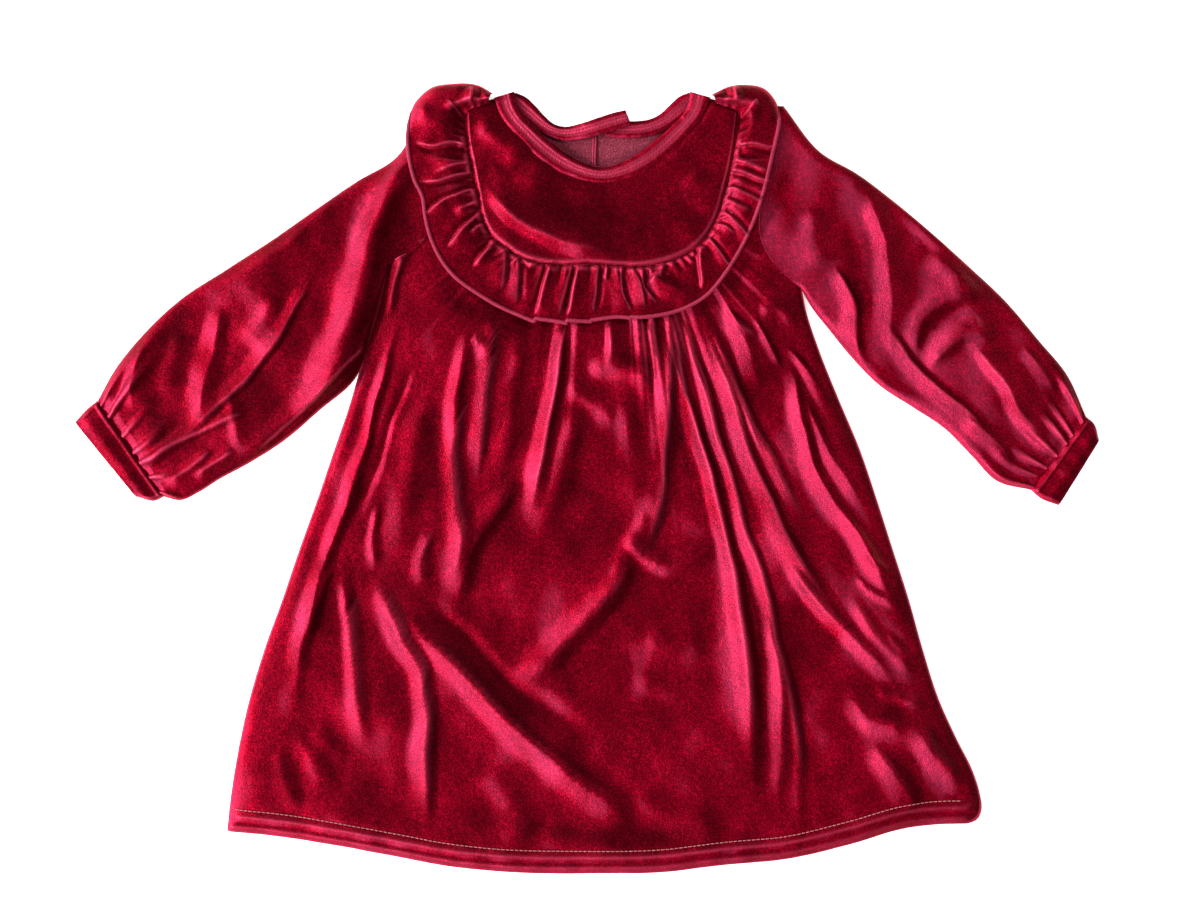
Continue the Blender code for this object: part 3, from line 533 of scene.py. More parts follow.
def tube_mesh(name, paths, radius, material, sides=6, profile=None):
    """Round threads or cords along paths of points, joined in one mesh."""
    verts, quads, base = [], [], 0
    for path in paths:
        path = np.asarray(path, float)
        tangent = np.gradient(path, axis=0)
        tangent /= np.linalg.norm(tangent, axis=1)[:, None] + 1e-9
        across = np.cross(tangent, [0.0, 0.0, 1.0])
        across /= np.linalg.norm(across, axis=1)[:, None] + 1e-9
        over = np.cross(across, tangent)
        n = len(path)
        shape = np.ones(n) if profile is None else profile(n)
        a = np.linspace(0, 2 * math.pi, sides, endpoint=False)
        ring = (
            path[:, None, :]
            + radius * shape[:, None, None] * (np.cos(a)[None, :, None] * across[:, None, :] + np.sin(a)[None, :, None] * over[:, None, :])
        )
        verts.append(ring.reshape(-1, 3))
        r = np.arange(n - 1)[:, None]
        c = np.arange(sides)[None, :]
        d = (c + 1) % sides
        quads.append(
            (base + np.stack([r * sides + c, r * sides + d, (r + 1) * sides + d, (r + 1) * sides + c], -1)).reshape(-1, 4)
        )
        base += n * sides
    co = np.concatenate(verts) * MM
    q = np.concatenate(quads)
    mesh = bpy.data.meshes.new(name)
    mesh.from_pydata(co.tolist(), [], q.tolist())
    mesh.update()
    mesh.shade_smooth()
    mesh.materials.append(material)
    obj = bpy.data.objects.new(name, mesh)
    bpy.context.scene.collection.objects.link(obj)
    return obj


# ---------------------------------------------------------------- materials
def velvet(name, dark, mid, rough=0.42, sheen=0.6, metallic=0.3, speckle=0.3, spec=0.8, painted_light_and_nap=(0.37, 1.34), crest_highlight=(0.54, 0.038, 0.092), grain=(1.0, 1.0, 1.0)):
    made = bpy.data.materials.new(name)
    made.use_nodes = True
    tree = made.node_tree
    nodes, links = tree.nodes, tree.links
    shader = nodes["Principled BSDF"]
    coords = nodes.new("ShaderNodeTexCoord")
    mapping = nodes.new("ShaderNodeMapping")
    mapping.inputs["Scale"].default_value = grain
    links.new(coords.outputs["Object"], mapping.inputs["Vector"])

    def noise(scale, detail, roughness=0.5, distortion=0.0):
        node = nodes.new("ShaderNodeTexNoise")
        node.inputs["Scale"].default_value = scale
        node.inputs["Detail"].default_value = detail
        node.inputs["Roughness"].default_value = roughness
        node.inputs["Distortion"].default_value = distortion
        links.new(mapping.outputs["Vector"], node.inputs["Vector"])
        return node

    def math_node(op, a, b=None):
        node = nodes.new("ShaderNodeMath")
        node.operation = op
        for slot, value in ((0, a), (1, b)):
            if value is None:
                continue
            if hasattr(value, "links"):
                links.new(value, node.inputs[slot])
            else:
                node.inputs[slot].default_value = value
        return node.outputs[0]

    pile = noise(1050.0, 1.5, 0.6)
    clump = noise(300.0, 3.0, 0.6)
    brushed = noise(48.0, 4.0, 0.6, 0.6)
    # colour: short pile, darker between clumps, brushed patches
    mix = math_node("MULTIPLY_ADD", pile.outputs["Fac"], 1.7)
    tree_mix = mix.node
    tree_mix.inputs[2].default_value = -0.60
    both = math_node("MULTIPLY_ADD", clump.outputs["Fac"], 0.28)
    both.node.inputs[2].default_value = 0.11
    summed = math_node("ADD", mix, both)
    patches = math_node("MULTIPLY", brushed.outputs["Fac"], 0.40)
    total = math_node("ADD", summed, patches)
    cloud = noise(13.0, 2.0, 0.5, 0.8)
    total = math_node("ADD", total, math_node("MULTIPLY_ADD", cloud.outputs["Fac"], 0.4))
    total.node.inputs[1].links[0].from_node.inputs[2].default_value = -0.20
    ramp = nodes.new("ShaderNodeValToRGB")
    ramp.color_ramp.elements[0].position = 0.26
    ramp.color_ramp.elements[0].color = (*dark, 1)
    ramp.color_ramp.elements[1].position = 1.0
    ramp.color_ramp.elements[1].color = (*[c * 1.5 for c in mid], 1)
    tips = ramp.color_ramp.elements.new(0.86)
    tips.color = (*[c * 0.8 for c in mid], 1)
    links.new(total, ramp.inputs["Fac"])
    # painted light and shade: the colour is multiplied by the per-point painted value, lighter where the cloth faces
    # the key lights
    facing_light = nodes.new("ShaderNodeAttribute")
    facing_light.attribute_name = "painted_light_and_nap"
    light = nodes.new("ShaderNodeMapRange")
    light.inputs["To Min"].default_value = painted_light_and_nap[0]
    light.inputs["To Max"].default_value = painted_light_and_nap[1]
    links.new(facing_light.outputs["Fac"], light.inputs["Value"])
    painted_light_and_shade = nodes.new("ShaderNodeMix")
    painted_light_and_shade.data_type = "RGBA"
    painted_light_and_shade.blend_type = "MULTIPLY"
    painted_light_and_shade.inputs["Factor"].default_value = 1.0
    links.new(ramp.outputs["Color"], painted_light_and_shade.inputs["A"])
    links.new(light.outputs["Result"], painted_light_and_shade.inputs["B"])
    # painted highlight: where the painted light value is high the colour turns pinker
    lit = nodes.new("ShaderNodeMapRange")
    lit.inputs["From Min"].default_value = 0.64
    lit.inputs["From Max"].default_value = 1.0
    lit.inputs["To Min"].default_value = 0.0
    lit.inputs["To Max"].default_value = 0.23
    links.new(facing_light.outputs["Fac"], lit.inputs["Value"])
    painted_highlight = nodes.new("ShaderNodeMix")
    painted_highlight.data_type = "RGBA"
    painted_highlight.inputs["B"].default_value = (0.72 * crest_highlight[0], 1.12 * crest_highlight[1], 1.34 * crest_highlight[2], 1)
    links.new(lit.outputs["Result"], painted_highlight.inputs["Factor"])
    links.new(painted_light_and_shade.outputs["Result"], painted_highlight.inputs["A"])
    # painted highlight along sharp crests, mixed toward the crest colour
    crest_highlight_node = nodes.new("ShaderNodeAttribute")
    crest_highlight_node.attribute_name = "crest_highlight"
    edge = nodes.new("ShaderNodeMix")
    edge.data_type = "RGBA"
    edge.inputs["B"].default_value = (*crest_highlight, 1)
    links.new(math_node("MULTIPLY", crest_highlight_node.outputs["Fac"], 0.7), edge.inputs["Factor"])
    links.new(painted_highlight.outputs["Result"], edge.inputs["A"])
    links.new(edge.outputs["Result"], shader.inputs["Base Color"])
    roughness = nodes.new("ShaderNodeMapRange")
    roughness.inputs["From Min"].default_value = 0.3
    roughness.inputs["From Max"].default_value = 0.75
    roughness.inputs["To Min"].default_value = rough - 0.08
    roughness.inputs["To Max"].default_value = rough + 0.13
    links.new(clump.outputs["Fac"], roughness.inputs["Value"])
    links.new(roughness.outputs["Result"], shader.inputs["Roughness"])
    height = math_node("ADD", math_node("MULTIPLY", pile.outputs["Fac"], 1.0), math_node("MULTIPLY", clump.outputs["Fac"], 1.3))
    bump = nodes.new("ShaderNodeBump")
    bump.inputs["Strength"].default_value = speckle
    bump.inputs["Distance"].default_value = 0.00046
    links.new(height, bump.inputs["Height"])
    soft = nodes.new("ShaderNodeBump")
    soft.inputs["Strength"].default_value = 0.2
    soft.inputs["Distance"].default_value = 0.0015
    ripple = noise(70.0, 2.0, 0.5, 0.3)
    links.new(ripple.outputs["Fac"], soft.inputs["Height"])
    links.new(soft.outputs["Normal"], bump.inputs["Normal"])
    links.new(bump.outputs["Normal"], shader.inputs["Normal"])
    shader.inputs["Metallic"].default_value = metallic
    shader.inputs["Sheen Weight"].default_value = sheen
    shader.inputs["Sheen Roughness"].default_value = 0.3
    shader.inputs["Sheen Tint"].default_value = (1.0, 0.03, 0.10, 1)
    shader.inputs["Specular IOR Level"].default_value = spec
    shader.inputs["Specular Tint"].default_value = (1.0, 0.07, 0.19, 1)
    return made


def thread(name, colour, rough=0.6):
    made = bpy.data.materials.new(name)
    made.use_nodes = True
    nodes, links = made.node_tree.nodes, made.node_tree.links
    shader = nodes["Principled BSDF"]
    coords = nodes.new("ShaderNodeTexCoord")
    noise = nodes.new("ShaderNodeTexNoise")
    noise.inputs["Scale"].default_value = 900.0
    noise.inputs["Detail"].default_value = 2.0
    links.new(coords.outputs["Object"], noise.inputs["Vector"])
    ramp = nodes.new("ShaderNodeValToRGB")
    ramp.color_ramp.elements[0].position = 0.3
    ramp.color_ramp.elements[0].color = (*[c * 0.55 for c in colour], 1)
    ramp.color_ramp.elements[1].position = 0.7
    ramp.color_ramp.elements[1].color = (*colour, 1)
    links.new(noise.outputs["Fac"], ramp.inputs["Fac"])
    links.new(ramp.outputs["Color"], shader.inputs["Base Color"])
    bump = nodes.new("ShaderNodeBump")
    bump.inputs["Strength"].default_value = 0.4
    bump.inputs["Distance"].default_value = 0.0004
    links.new(noise.outputs["Fac"], bump.inputs["Height"])
    links.new(bump.outputs["Normal"], shader.inputs["Normal"])
    shader.inputs["Roughness"].default_value = rough
    shader.inputs["Specular IOR Level"].default_value = 0.15
    return made


VELVET = velvet("burgundy_velvet", (0.028, 0.0, 0.0014), (0.212, 0.0005, 0.0096), rough=0.43, sheen=0.45, metallic=0.6, speckle=0.66, spec=0.16)
WRONG = velvet("velvet_wrong_side", (0.08, 0.006, 0.014), (0.20, 0.03, 0.05), rough=0.8, sheen=0.1, metallic=0.0, speckle=0.35, spec=0.2)
THREAD = thread("burgundy_thread", (0.22, 0.008, 0.03))
EDGE_THREAD = thread("overlock_thread", (0.27, 0.012, 0.042))
SEAM_THREAD = thread("binding_thread", (0.34, 0.022, 0.062))
PALE_THREAD = thread("hem_thread", (0.52, 0.14, 0.15))


# ---------------------------------------------------------------- front skirt
def outline_of(name, count):
    s = np.linspace(0, 1, count)
    if name == "armhole_left":
        return armhole(ARMHOLE_LEFT, 1.0, s)
    if name == "side_left":
        return along(SIDE_LEFT, s)
    if name == "hem":
        return along(HEM, s)
    if name == "side_right":
        return along(SIDE_RIGHT, s)[::-1]
    return armhole(ARMHOLE_RIGHT, 1.0, s)[::-1]


def gathers(x, y):
    """Small gathers that fan out from under the ruffle."""
    d, side, way = nearest(GATHER_PATH, x, y)
    phase = 2 * math.pi * (23 * way + 0.6 * np.sin(19 * way) + 0.35 * np.sin(41 * way + 1))
    fade = smooth((d - 14) / 20) * np.exp(-np.maximum(d - 40, 0) / 38)
    amount = 0.75 + 0.6 * np.sin(13 * way + 0.5)
    return 1.25 * np.sin(phase + d * 0.012 * np.sin(30 * way)) * fade * amount


def skirt_z(x, y):
    from_edge = np.minimum.reduce([nearest(edge, x, y)[0] for edge in CLOSED_EDGES[1:4]])
    from_hem = nearest(CLOSED_EDGES[2], x, y)[0]
    z = front_base(x, y)
    under_ruffle = nearest(YOKE_PATH, x, y)[0]
    free = smooth((under_ruffle - 22) / 16)
    z += 1.12 * fold_height(SKIRT_FOLDS, x, y) * smooth(from_edge / 16) * (0.25 + 0.75 * smooth(from_hem / 26)) * (0.15 + 0.85 * free)
    z += gathers(x, y) * smooth(from_edge / 20)
    calm = smooth(from_edge / 22)
    z += (1.15 * HILLS(x, y) + 0.16 * DENTS(x, y) + 0.02 * CRINKLE(x, y)) * calm * (0.3 + 0.7 * free)
    # the turned hem is two layers thick, pulled in along its stitching
    z += 0.45 * smooth((16.4 - from_hem) / 3.0) - 0.16 * np.exp(-((from_hem - 15.4) / 1.0) ** 2)
    z += 0.6 * np.exp(-((from_hem - 10.8) / 1.2) ** 2) - 0.5 * np.exp(-((from_hem - 6.8) / 1.9) ** 2)
    z += 0.5 * np.exp(-((from_hem - 3.2) / 1.5) ** 2) + 0.14 * DENTS(x * 1.3, y * 1.3) * smooth((17 - from_hem) / 3)
    return np.maximum(z, 2.5)


def make_front_skirt():
    total_columns, rows = ((700, 132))
    seam, outer, names = [], [], []
    for k, (name, start, end, share) in enumerate(SKIRT_SPANS):
        count = max(4, int(total_columns * share))
        edge = outline_of(name, count + 1)
        ways = np.linspace(start, end, count + 1)
        first = 1 if k else 0
        seam.append(along(YOKE_SEAM, ways)[first:])
        outer.append(edge[first:])
        names += [name] * (count + 1 - first)
    seam, outer = np.concatenate(seam), np.concatenate(outer)
    close = rows // 4
    v = np.concatenate([0.945 * np.linspace(0, 1, rows - close + 1) ** 0.9, np.linspace(0.945, 1, close + 1)[1:]])[:, None, None]
    plan = seam + (outer - seam) * v
    x, y = plan[..., 0], plan[..., 1]
    z = skirt_z(x, y)
    points = [np.stack([x, y, z], -1)]
    out = outer - seam
    out /= np.linalg.norm(out, axis=1)[:, None]
    # outward direction square to the outline
    run = np.gradient(outer, axis=0)
    normal = np.stack([run[:, 1], -run[:, 0]], -1)
    normal /= np.linalg.norm(normal, axis=1)[:, None] + 1e-9
    normal *= np.sign((normal * out).sum(1))[:, None]
    closed = np.array([not n.startswith("armhole") for n in names], float)[:, None]
    closed = np.clip(np.convolve(closed[:, 0], np.ones(5) / 5, "same"), 0, 1)[:, None]
    # the armhole edges reach the sleeves
    points[0][-1, :, :2] += normal * 0.9 * (1 - closed)
    points[0][-2, :, :2] += normal * 0.4 * (1 - closed)
    radius = 1.1
    last = points[0][-1]
    for angle in (40, 80, 120, 155, 180):
        a = math.radians(angle)
        shift = normal * radius * math.sin(a) * closed
        ring = np.concatenate([last[:, :2] + shift, last[:, 2:] - radius * (1 - math.cos(a))], 1)
        points.append(ring[None])
    tuck = np.concatenate([last[:, :2] - normal * 5.0 * closed, last[:, 2:] - 2 * radius], 1)
    points.append(tuck[None])
    return grid_mesh("front_skirt_cloth", np.concatenate(points), VELVET), outer


# ---------------------------------------------------------------- yoke
def yoke_z(x, y):
    d_neck = nearest(along(both_halves(NECK_SEAM_HALF), np.linspace(0, 1, 40)), x, y)[0]
    d_seam = nearest(YOKE_PATH, x, y)[0]
    z = front_base(x, y) + 1.9
    z += fold_height(YOKE_FOLDS, x, y)
    z += 0.35 * HILLS(x, y) + 0.22 * DENTS(x, y) + 0.03 * CRINKLE(x, y)
    z += 0.22 * np.exp(-(((d_seam - 1.6) / 0.9) ** 2)) - 1.3 * np.exp(-((d_seam / 1.2) ** 2))
    z -= 0.7 * np.exp(-((d_neck / 2.4) ** 2))
    return z


def make_front_yoke():
    columns, rows = ((260, 76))
    s = np.linspace(0, 1, columns)
    neck = along(both_halves(NECK_SEAM_HALF), s)
    seam = along(YOKE_SEAM, s)
    run = seam - neck
    step = run / np.linalg.norm(run, axis=1)[:, None]
    neck, seam = neck - step * 0.8, seam + step * 0.5
    v = np.linspace(0, 1, rows + 1)[:, None, None]
    plan = neck + (seam - neck) * v
    x, y = plan[..., 0], plan[..., 1]
    # shift=-0.20 paints the yoke's light darker
    return grid_mesh("front_yoke_cloth", np.stack([x, y, yoke_z(x, y)], -1), VELVET, wall=0.9, shift=-0.20)


# ---------------------------------------------------------------- ruffle
# Knife pleats; columns as for the folds. One side of each crease is a folded edge, so it is steep.
PLEATS_LEFT = [
    (2.6, 1.1, 9, 1.3, [(-84, 232), (-92, 234), (-106, 232), (-122, 236)]),
    (1.6, 1.0, 5, 1.3, [(-84, 234), (-90, 231)]),
    (1.8, 4, 5, 1.5, [(-82, 222), (-88, 221), (-102, 223), (-115, 225)]),
    (2.8, 2.0, 6, 1.4, [(-80, 221), (-91, 219), (-108, 213)]),
    (3.0, 1.1, 8, 1.3, [(-77, 215), (-88, 212), (-104, 207), (-118, 207.5)]),
    (3.6, 7, 1.0, 1.3, [(-75.5, 201), (-81, 202), (-91, 198), (-102, 191.5), (-113.5, 181)]),
    (2.6, 5, 3.0, 1.5, [(-74, 195), (-85, 190), (-95, 184)]),
    (3.2, 6, 1.0, 1.3, [(-74, 186), (-81, 181), (-90, 171), (-97, 160)]),
    (2.2, 4, 1.4, 1.4, [(-69, 177), (-76, 176), (-82, 170)]),
    (2.6, 4, 1.5, 1.4, [(-64, 168), (-72, 158), (-80, 146)]),
    (2.8, 1.0, 8, 1.3, [(-57.5, 163), (-57.6, 150), (-58.5, 130)]),
    (3.0, 1.0, 6, 1.3, [(-49, 157), (-49, 140), (-49.6, 120)]),
    (2.0, 4, 1.4, 1.4, [(-46, 153), (-40, 149), (-36, 151)]),
]
PLEATS_MIDDLE = [
    (3.9, 8, 0.9, 1.3, [(-26.2, 149), (-30, 137), (-35.3, 112)]),
    (3.9, 9, 0.9, 1.3, [(-5.8, 149), (-10, 132), (-13.4, 112)]),
    (2.6, 0.9, 6, 1.3, [(-9.4, 149), (-14, 134), (-19.2, 114)]),
    (3.0, 0.9, 8, 1.3, [(7.7, 149), (6.3, 136), (2.8, 115)]),
    (2.2, 0.9, 4, 1.3, [(14, 148), (13.4, 142), (12.6, 137)]),
    (3.2, 0.9, 9, 1.3, [(25.2, 149), (25.4, 128), (31, 115)]),
    (2.6, 1.2, 6, 1.4, [(33.3, 148), (38.5, 134), (40.3, 116)]),
    (3.4, 1.0, 9, 1.4, [(40.3, 148), (40.8, 134), (49.4, 120)]),
    (3.0, 6, 9, 1.8, [(46, 142), (56, 135), (68, 130), (78, 131)]),
    (2.4, 1.2, 6, 1.4, [(54, 151), (52, 145), (50, 140)]),
]
PUFF_FOLDS = [
    (3.8, 8, 8, 1.9, [(-122, 264), (-112, 252), (-101, 240), (-94, 232)]),
    (-3.4, 9, 8, 2.0, [(-92, 262), (-88, 250), (-86, 238)]),
    (2.0, 1.0, 6, 1.3, [(-97, 264), (-91, 257), (-86, 251)]),
    (2.4, 1.2, 5, 1.3, [(-81, 274), (-81, 268), (-82, 261)]),
    (-2.2, 3, 3, 2.0, [(-76, 275), (-75, 269), (-76, 263)]),
]
# Places round the ruffle where its free edge steps outward before a pleat, as x along the bottom.
EDGE_STEPS = [(-36.0, 2.6), (-14.0, 2.4), (3.0, 1.0), (31.0, 0.8)]


def mirrored(folds, shrink=1.0):
    return [
        (h * shrink, right, left, sharp, [(2 * MIDDLE - x, y) for x, y in crease])
        for h, left, right, sharp, crease in folds
    ]


def with_valleys(folds):
    """Beside each folded edge the next panel dips under it."""
    out = []
    for h, left, right, sharp, crease in folds:
        out.append((h, left, right, sharp, crease))
        if min(left, right) > 1.6:
            continue
        c = np.array(crease, float)
        run = np.gradient(c, axis=0)
        square = np.stack([-run[:, 1], run[:, 0]], -1)
        square /= np.linalg.norm(square, axis=1)[:, None]
        side = 1.0 if left < right else -1.0
        moved = c + square * side * 2.4
        out.append((-0.5 * h, 2.6, 2.6, 2.0, [tuple(p) for p in moved]))
    return out


RUFFLE_PLEATS = with_valleys(PLEATS_LEFT + PLEATS_MIDDLE + mirrored(PLEATS_LEFT[:-2], 0.9))
ALL_PUFF_FOLDS = PUFF_FOLDS + mirrored(PUFF_FOLDS)
SMALL_GATHERS = 62


def ruffle_curves(s):
    table = np.array(RUFFLE)
    keyed = np.linspace(0, 1, len(table))
    lengths = np.concatenate([[0], np.cumsum(np.linalg.norm(np.diff(table[:, :2], axis=0), axis=1))])
    outer_lengths = np.concatenate([[0], np.cumsum(np.linalg.norm(np.diff(table[:, 2:], axis=0), axis=1))])
    mean = 0.5 * (lengths / lengths[-1] + outer_lengths / outer_lengths[-1])
    at = np.interp(s, mean, keyed)
    inner = along(table[:, :2], np.interp(at, keyed, lengths / lengths[-1]))
    outer = along(table[:, 2:], np.interp(at, keyed, outer_lengths / outer_lengths[-1]))
    return inner, outer, at * (len(table) - 1)


def ruffle_points(s, v):
    """Points of the ruffle at fractions s round the yoke and v out from its seam."""
    inner, outer, at = ruffle_curves(s)
    last = len(RUFFLE) - 1
    run = outer - inner
    length = np.linalg.norm(run, axis=1)
    vv = v[:, None]
    plan = inner[None] + run[None] * vv[..., None]
    push = np.zeros(len(s))
    bottom = outer[:, 1] < 135
    for place, size in EDGE_STEPS:
        gap = place - outer[:, 0]
        push += np.where(bottom, size * np.exp(-np.clip(gap, 0, 99) / 11.0) * smooth((gap + 0.5) / 1.0), 0.0)
    push += np.sin(2 * math.pi * 6.5 * s + 0.7) * 0.7
    plan += (run / length[:, None])[None] * (push[None] * smooth((vv - 0.3) / 0.7))[..., None]
    x, y = plan[..., 0], plan[..., 1]
    under = front_base(x, y, CLOSED_EDGES[1:4]) + 1.4
    puff = smooth((5.6 - at) / 2.2) + smooth((at - (last - 5.6)) / 2.2)
    lift = 1.2 + 2.4 * smooth(vv / 0.4)
    flat_z = under + lift
    pleats = 0.9 * fold_height(RUFFLE_PLEATS, x, y, 1.1, (0.06, 0.34))
    small = np.sin(2 * math.pi * SMALL_GATHERS * s + 1.5 * np.sin(2 * math.pi * 9 * s))[None]
    flat_z += pleats * smooth(vv / 0.06) + 0.55 * small * smooth(vv / 0.05) * np.exp(-((vv / 0.28) ** 2))
    flat_z += (0.5 * np.sin(2 * math.pi * 9 * s + 1.0))[None] * smooth((vv - 0.4) / 0.6)
    flat_z -= 1.8 * np.exp(-((vv * length[None] / 1.7) ** 2))
    # over the shoulders it puffs up and rolls down behind
    rise = smooth(vv / 0.34)
    roll = np.sqrt(np.clip(1 - np.clip((vv - 0.30) / 0.70, 0, 1) ** 2.2, 0, 1))
    puff_z = 2.4 + (under + 1.0 - 2.4 + 6.2 * rise) * roll + fold_height(ALL_PUFF_FOLDS, x, y) * smooth((1 - vv) / 0.25)
    puff_z += 0.35 * small * smooth(vv / 0.05) * np.exp(-((vv / 0.3) ** 2))
    z = flat_z * (1 - puff[None]) + puff_z * puff[None]
    z += 0.16 * DENTS(x * 1.6, y * 1.6) + 0.03 * CRINKLE(x, y)
    z = np.clip(z, 2.2, 23.0)
    return np.stack([x, y, z], -1), puff


def make_ruffle():
    columns, rows = ((1020, 44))
    s = np.linspace(0, 1, columns)
    v = np.linspace(0, 1, rows + 1)
    points, puff = ruffle_points(s, v)
    # the puffs' edge rolls under
    # shift=-0.16 paints the ruffle's light darker
    return grid_mesh("ruffle_cloth", points, VELVET, wall=0.8, shift=-0.16)


def make_ruffle_edge():
    """Overlocked edge: a cord of close stitches round the free edge."""
    at = np.linspace(0, 1, 2600)
    points, puff = ruffle_points(at, np.array([0.985, 1.0]))
    path = points[1][(ruffle_curves(at)[2] > 4.35) & (ruffle_curves(at)[2] < len(RUFFLE) - 5.35)]
    length = np.concatenate([[0], np.cumsum(np.linalg.norm(np.diff(path, axis=0), axis=1))])
    path[:, 2] = np.maximum(path[:, 2], front_base(path[:, 0], path[:, 1]) + 1.5)
    cord = tube_mesh(
        "ruffle_overlock",
        [path],
        1.5,
        EDGE_THREAD,
        sides=8,
        profile=lambda n: (0.86 + 0.14 * np.abs(np.sin(math.pi * length / 1.3)))
        * (0.2 + 0.8 * smooth(np.minimum(length, length[-1] - length) / 12.0)),
    )
    return cord


# ---------------------------------------------------------------- sleeves and cuffs
def tube_points(table, rows, top_count, bottom_count, loft, folds, gather, seed, wall_side=2.2, calm=1.0, flank=20.0):
    table = np.array(table)
    ways = np.linspace(0, 1, rows)
    upper = along(table[:, :2], ways)
    lengths = np.concatenate([[0], np.cumsum(np.linalg.norm(np.diff(table[:, :2], axis=0), axis=1))])
    low_lengths = np.concatenate([[0], np.cumsum(np.linalg.norm(np.diff(table[:, 2:4], axis=0), axis=1))])
    lower = along(table[:, 2:4], np.interp(ways, lengths / lengths[-1], low_lengths / low_lengths[-1]))
    share = np.interp(ways, lengths / lengths[-1], table[:, 4]) if table.shape[1] > 4 else np.zeros(rows)
    t = np.linspace(0, 1, top_count)
    top_w = 0.5 - 0.5 * np.cos(math.pi * t)
    top_w = 0.55 * t + 0.45 * top_w
    bottom_w = np.linspace(1, 0, bottom_count + 2)[1:-1]
    w = np.concatenate([top_w, bottom_w])
    on_top = np.concatenate([np.full(top_count, True), np.full(bottom_count, False)])
    plan = np.stack([armhole((upper[r], lower[r]), share[r], w) for r in range(rows)])
    x, y = plan[..., 0], plan[..., 1]
    width = np.linalg.norm(lower - upper, axis=1)[:, None]
    inset = np.minimum(w, 1 - w)[None] * width
    rim = np.sqrt(np.clip(1 - (1 - np.clip(inset / 4.0, 0, 1)) ** 2, 0, 1))
    across = 1 - (1 - np.clip(inset / flank, 0, 1)) ** 2.2
    fade = smooth(inset / 12.0)
    z_top = 1.5 + wall_side * rim + loft(ways)[:, None] * across
    if folds:
        z_top = z_top + 1.0 * fold_height(folds, x, y, 1.0) * fade
    z_top = z_top + (1.0 * HILLS(x + seed, y) + 0.14 * DENTS(x, y + seed) + 0.02 * CRINKLE(x, y)) * fade * calm
    z_top = z_top + gather(ways[:, None], w[None], x, y) * smooth(inset / 3.0)
    z_top = np.maximum(z_top, 1.5 + wall_side * rim * 0.8)
    z_bottom = 0.25 + 1.25 * (1 - np.sqrt(np.clip(1 - (1 - np.clip(inset / 4.0, 0, 1)) ** 2, 0, 1)))
    z = np.where(on_top[None], z_top, z_bottom)
    return np.stack([x, y, z], -1)


def cuff_gathers(count, seed):
    rng = np.random.default_rng(seed)
    places = np.cumsum(rng.uniform(0.6, 1.5, count))
    places = places / places[-1]
    heights = rng.uniform(0.6, 1.3, count)
    reach = rng.uniform(0.07, 0.17, count)

    def f(way, w, x, y):
        z = 0.0
        for place, height, far in zip(places, heights, reach):
            along_ = smooth((way - (1 - far * 1.5)) / far)
            width = 0.022 + 0.03 * np.clip(1 - way, 0, 1) * 4
            z = z + height * 2.7 * along_ * np.exp(-(((w - place + 0.04) / width) ** 2))
        return z - 0.8 * smooth((way - 0.965) / 0.035) * 2.0

    return f


def make_sleeve(name, table, folds, seed, rise=3.4, shift=0.0, flank=20.0):
    rows, top, bottom = ((270, 190, 36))
    loft = lambda ways: rise - 1.2 * smooth((ways - 0.86) / 0.14)
    points = tube_points(table, rows, top, bottom, loft, folds, cuff_gathers(7, seed), seed * 7.0, flank=flank)
    return grid_mesh(name, points, VELVET, wrap=True, shift=shift)


def make_cuff(name, table, seed):
    rows, top, bottom = ((70, 110, 20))
    # the wrist edge turns in on itself, so the cuff is a folded band
    loft = lambda ways: 1.5 + 0.9 * np.sin(math.pi * ways)
    rng = np.random.default_rng(seed)
    a, b = rng.uniform(0, 6, 2)

    def ripple(way, w, x, y):
        seam = -1.1 * np.exp(-((way / 0.08) ** 2)) + 0.7 * np.exp(-(((way - 0.17) / 0.06) ** 2)) + 0.9 * np.exp(-(((way - 0.66) / 0.22) ** 2))
        return seam + 0.45 * np.sin(14 * w + a + 2.0 * way) * (1 - 0.4 * way) + 0.25 * np.sin(31 * w + b)

    points = tube_points(table, rows, top, bottom, loft, [], ripple, seed * 3.0, wall_side=2.4, calm=0.3)
    # roll the wrist edge inwards
    last = points[-1]
    centre = last.mean(0)
    inner = []
    for depth, shrink in ((0.5, 0.992), (0.2, 0.975), (-2.5, 0.955), (-8.0, 0.95)):
        direction = points[-1] - points[-3]
        direction = direction.mean(0) / np.linalg.norm(direction.mean(0))
        ring = centre + (last - centre) * shrink
        ring[:, 2] = centre[2] + (last[:, 2] - centre[2]) * (0.86 if shrink > 0.98 else 0.6 if shrink > 0.96 else 0.45)
        ring[:, :2] += direction[:2] * depth
        inner.append(ring)
    points = np.concatenate([points, np.array(inner)])
    # shift=-0.12 paints the cuff's light darker
    return grid_mesh(name, points, VELVET, wrap=True, shift=-0.12)


# ---------------------------------------------------------------- neck bindings
def band_points(seam_table, edge_table, columns, rows, top, swell=1.0, start=0.0, end=1.0):
    s = np.linspace(start, end, columns)
    seam, edge = along(seam_table, s), along(edge_table, s)
    v = np.linspace(0, 1, rows)[:, None, None]
    plan = seam + (edge - seam) * v
    x, y = plan[..., 0], plan[..., 1]
    vv = v[..., 0]
    crown = 1 - (2 * vv - 1) ** 4
    z = top(x, y) + swell * (crown - 1) + 0.25 * np.exp(-(((vv - 0.72) / 0.16) ** 2)) - 0.5 * np.exp(-(((vv - 0.42) / 0.05) ** 2)) - 0.5 * np.exp(-(((vv - 0.62) / 0.05) ** 2))
    z += 0.05 * CRINKLE(x * 1.5, y * 1.5)
    return np.stack([x, y, z], -1)


def front_band_top(x, y):
    return 8.3 + 0.35 * HILLS(x, y) + 0.0 * x


def back_left_top(x, y):
    return 4.2 + 3.0 * smooth((x + 18.0) / 24.0) + 0.2 * HILLS(x, y)


def back_right_top(x, y):
    return 4.0 + 0.0 * x


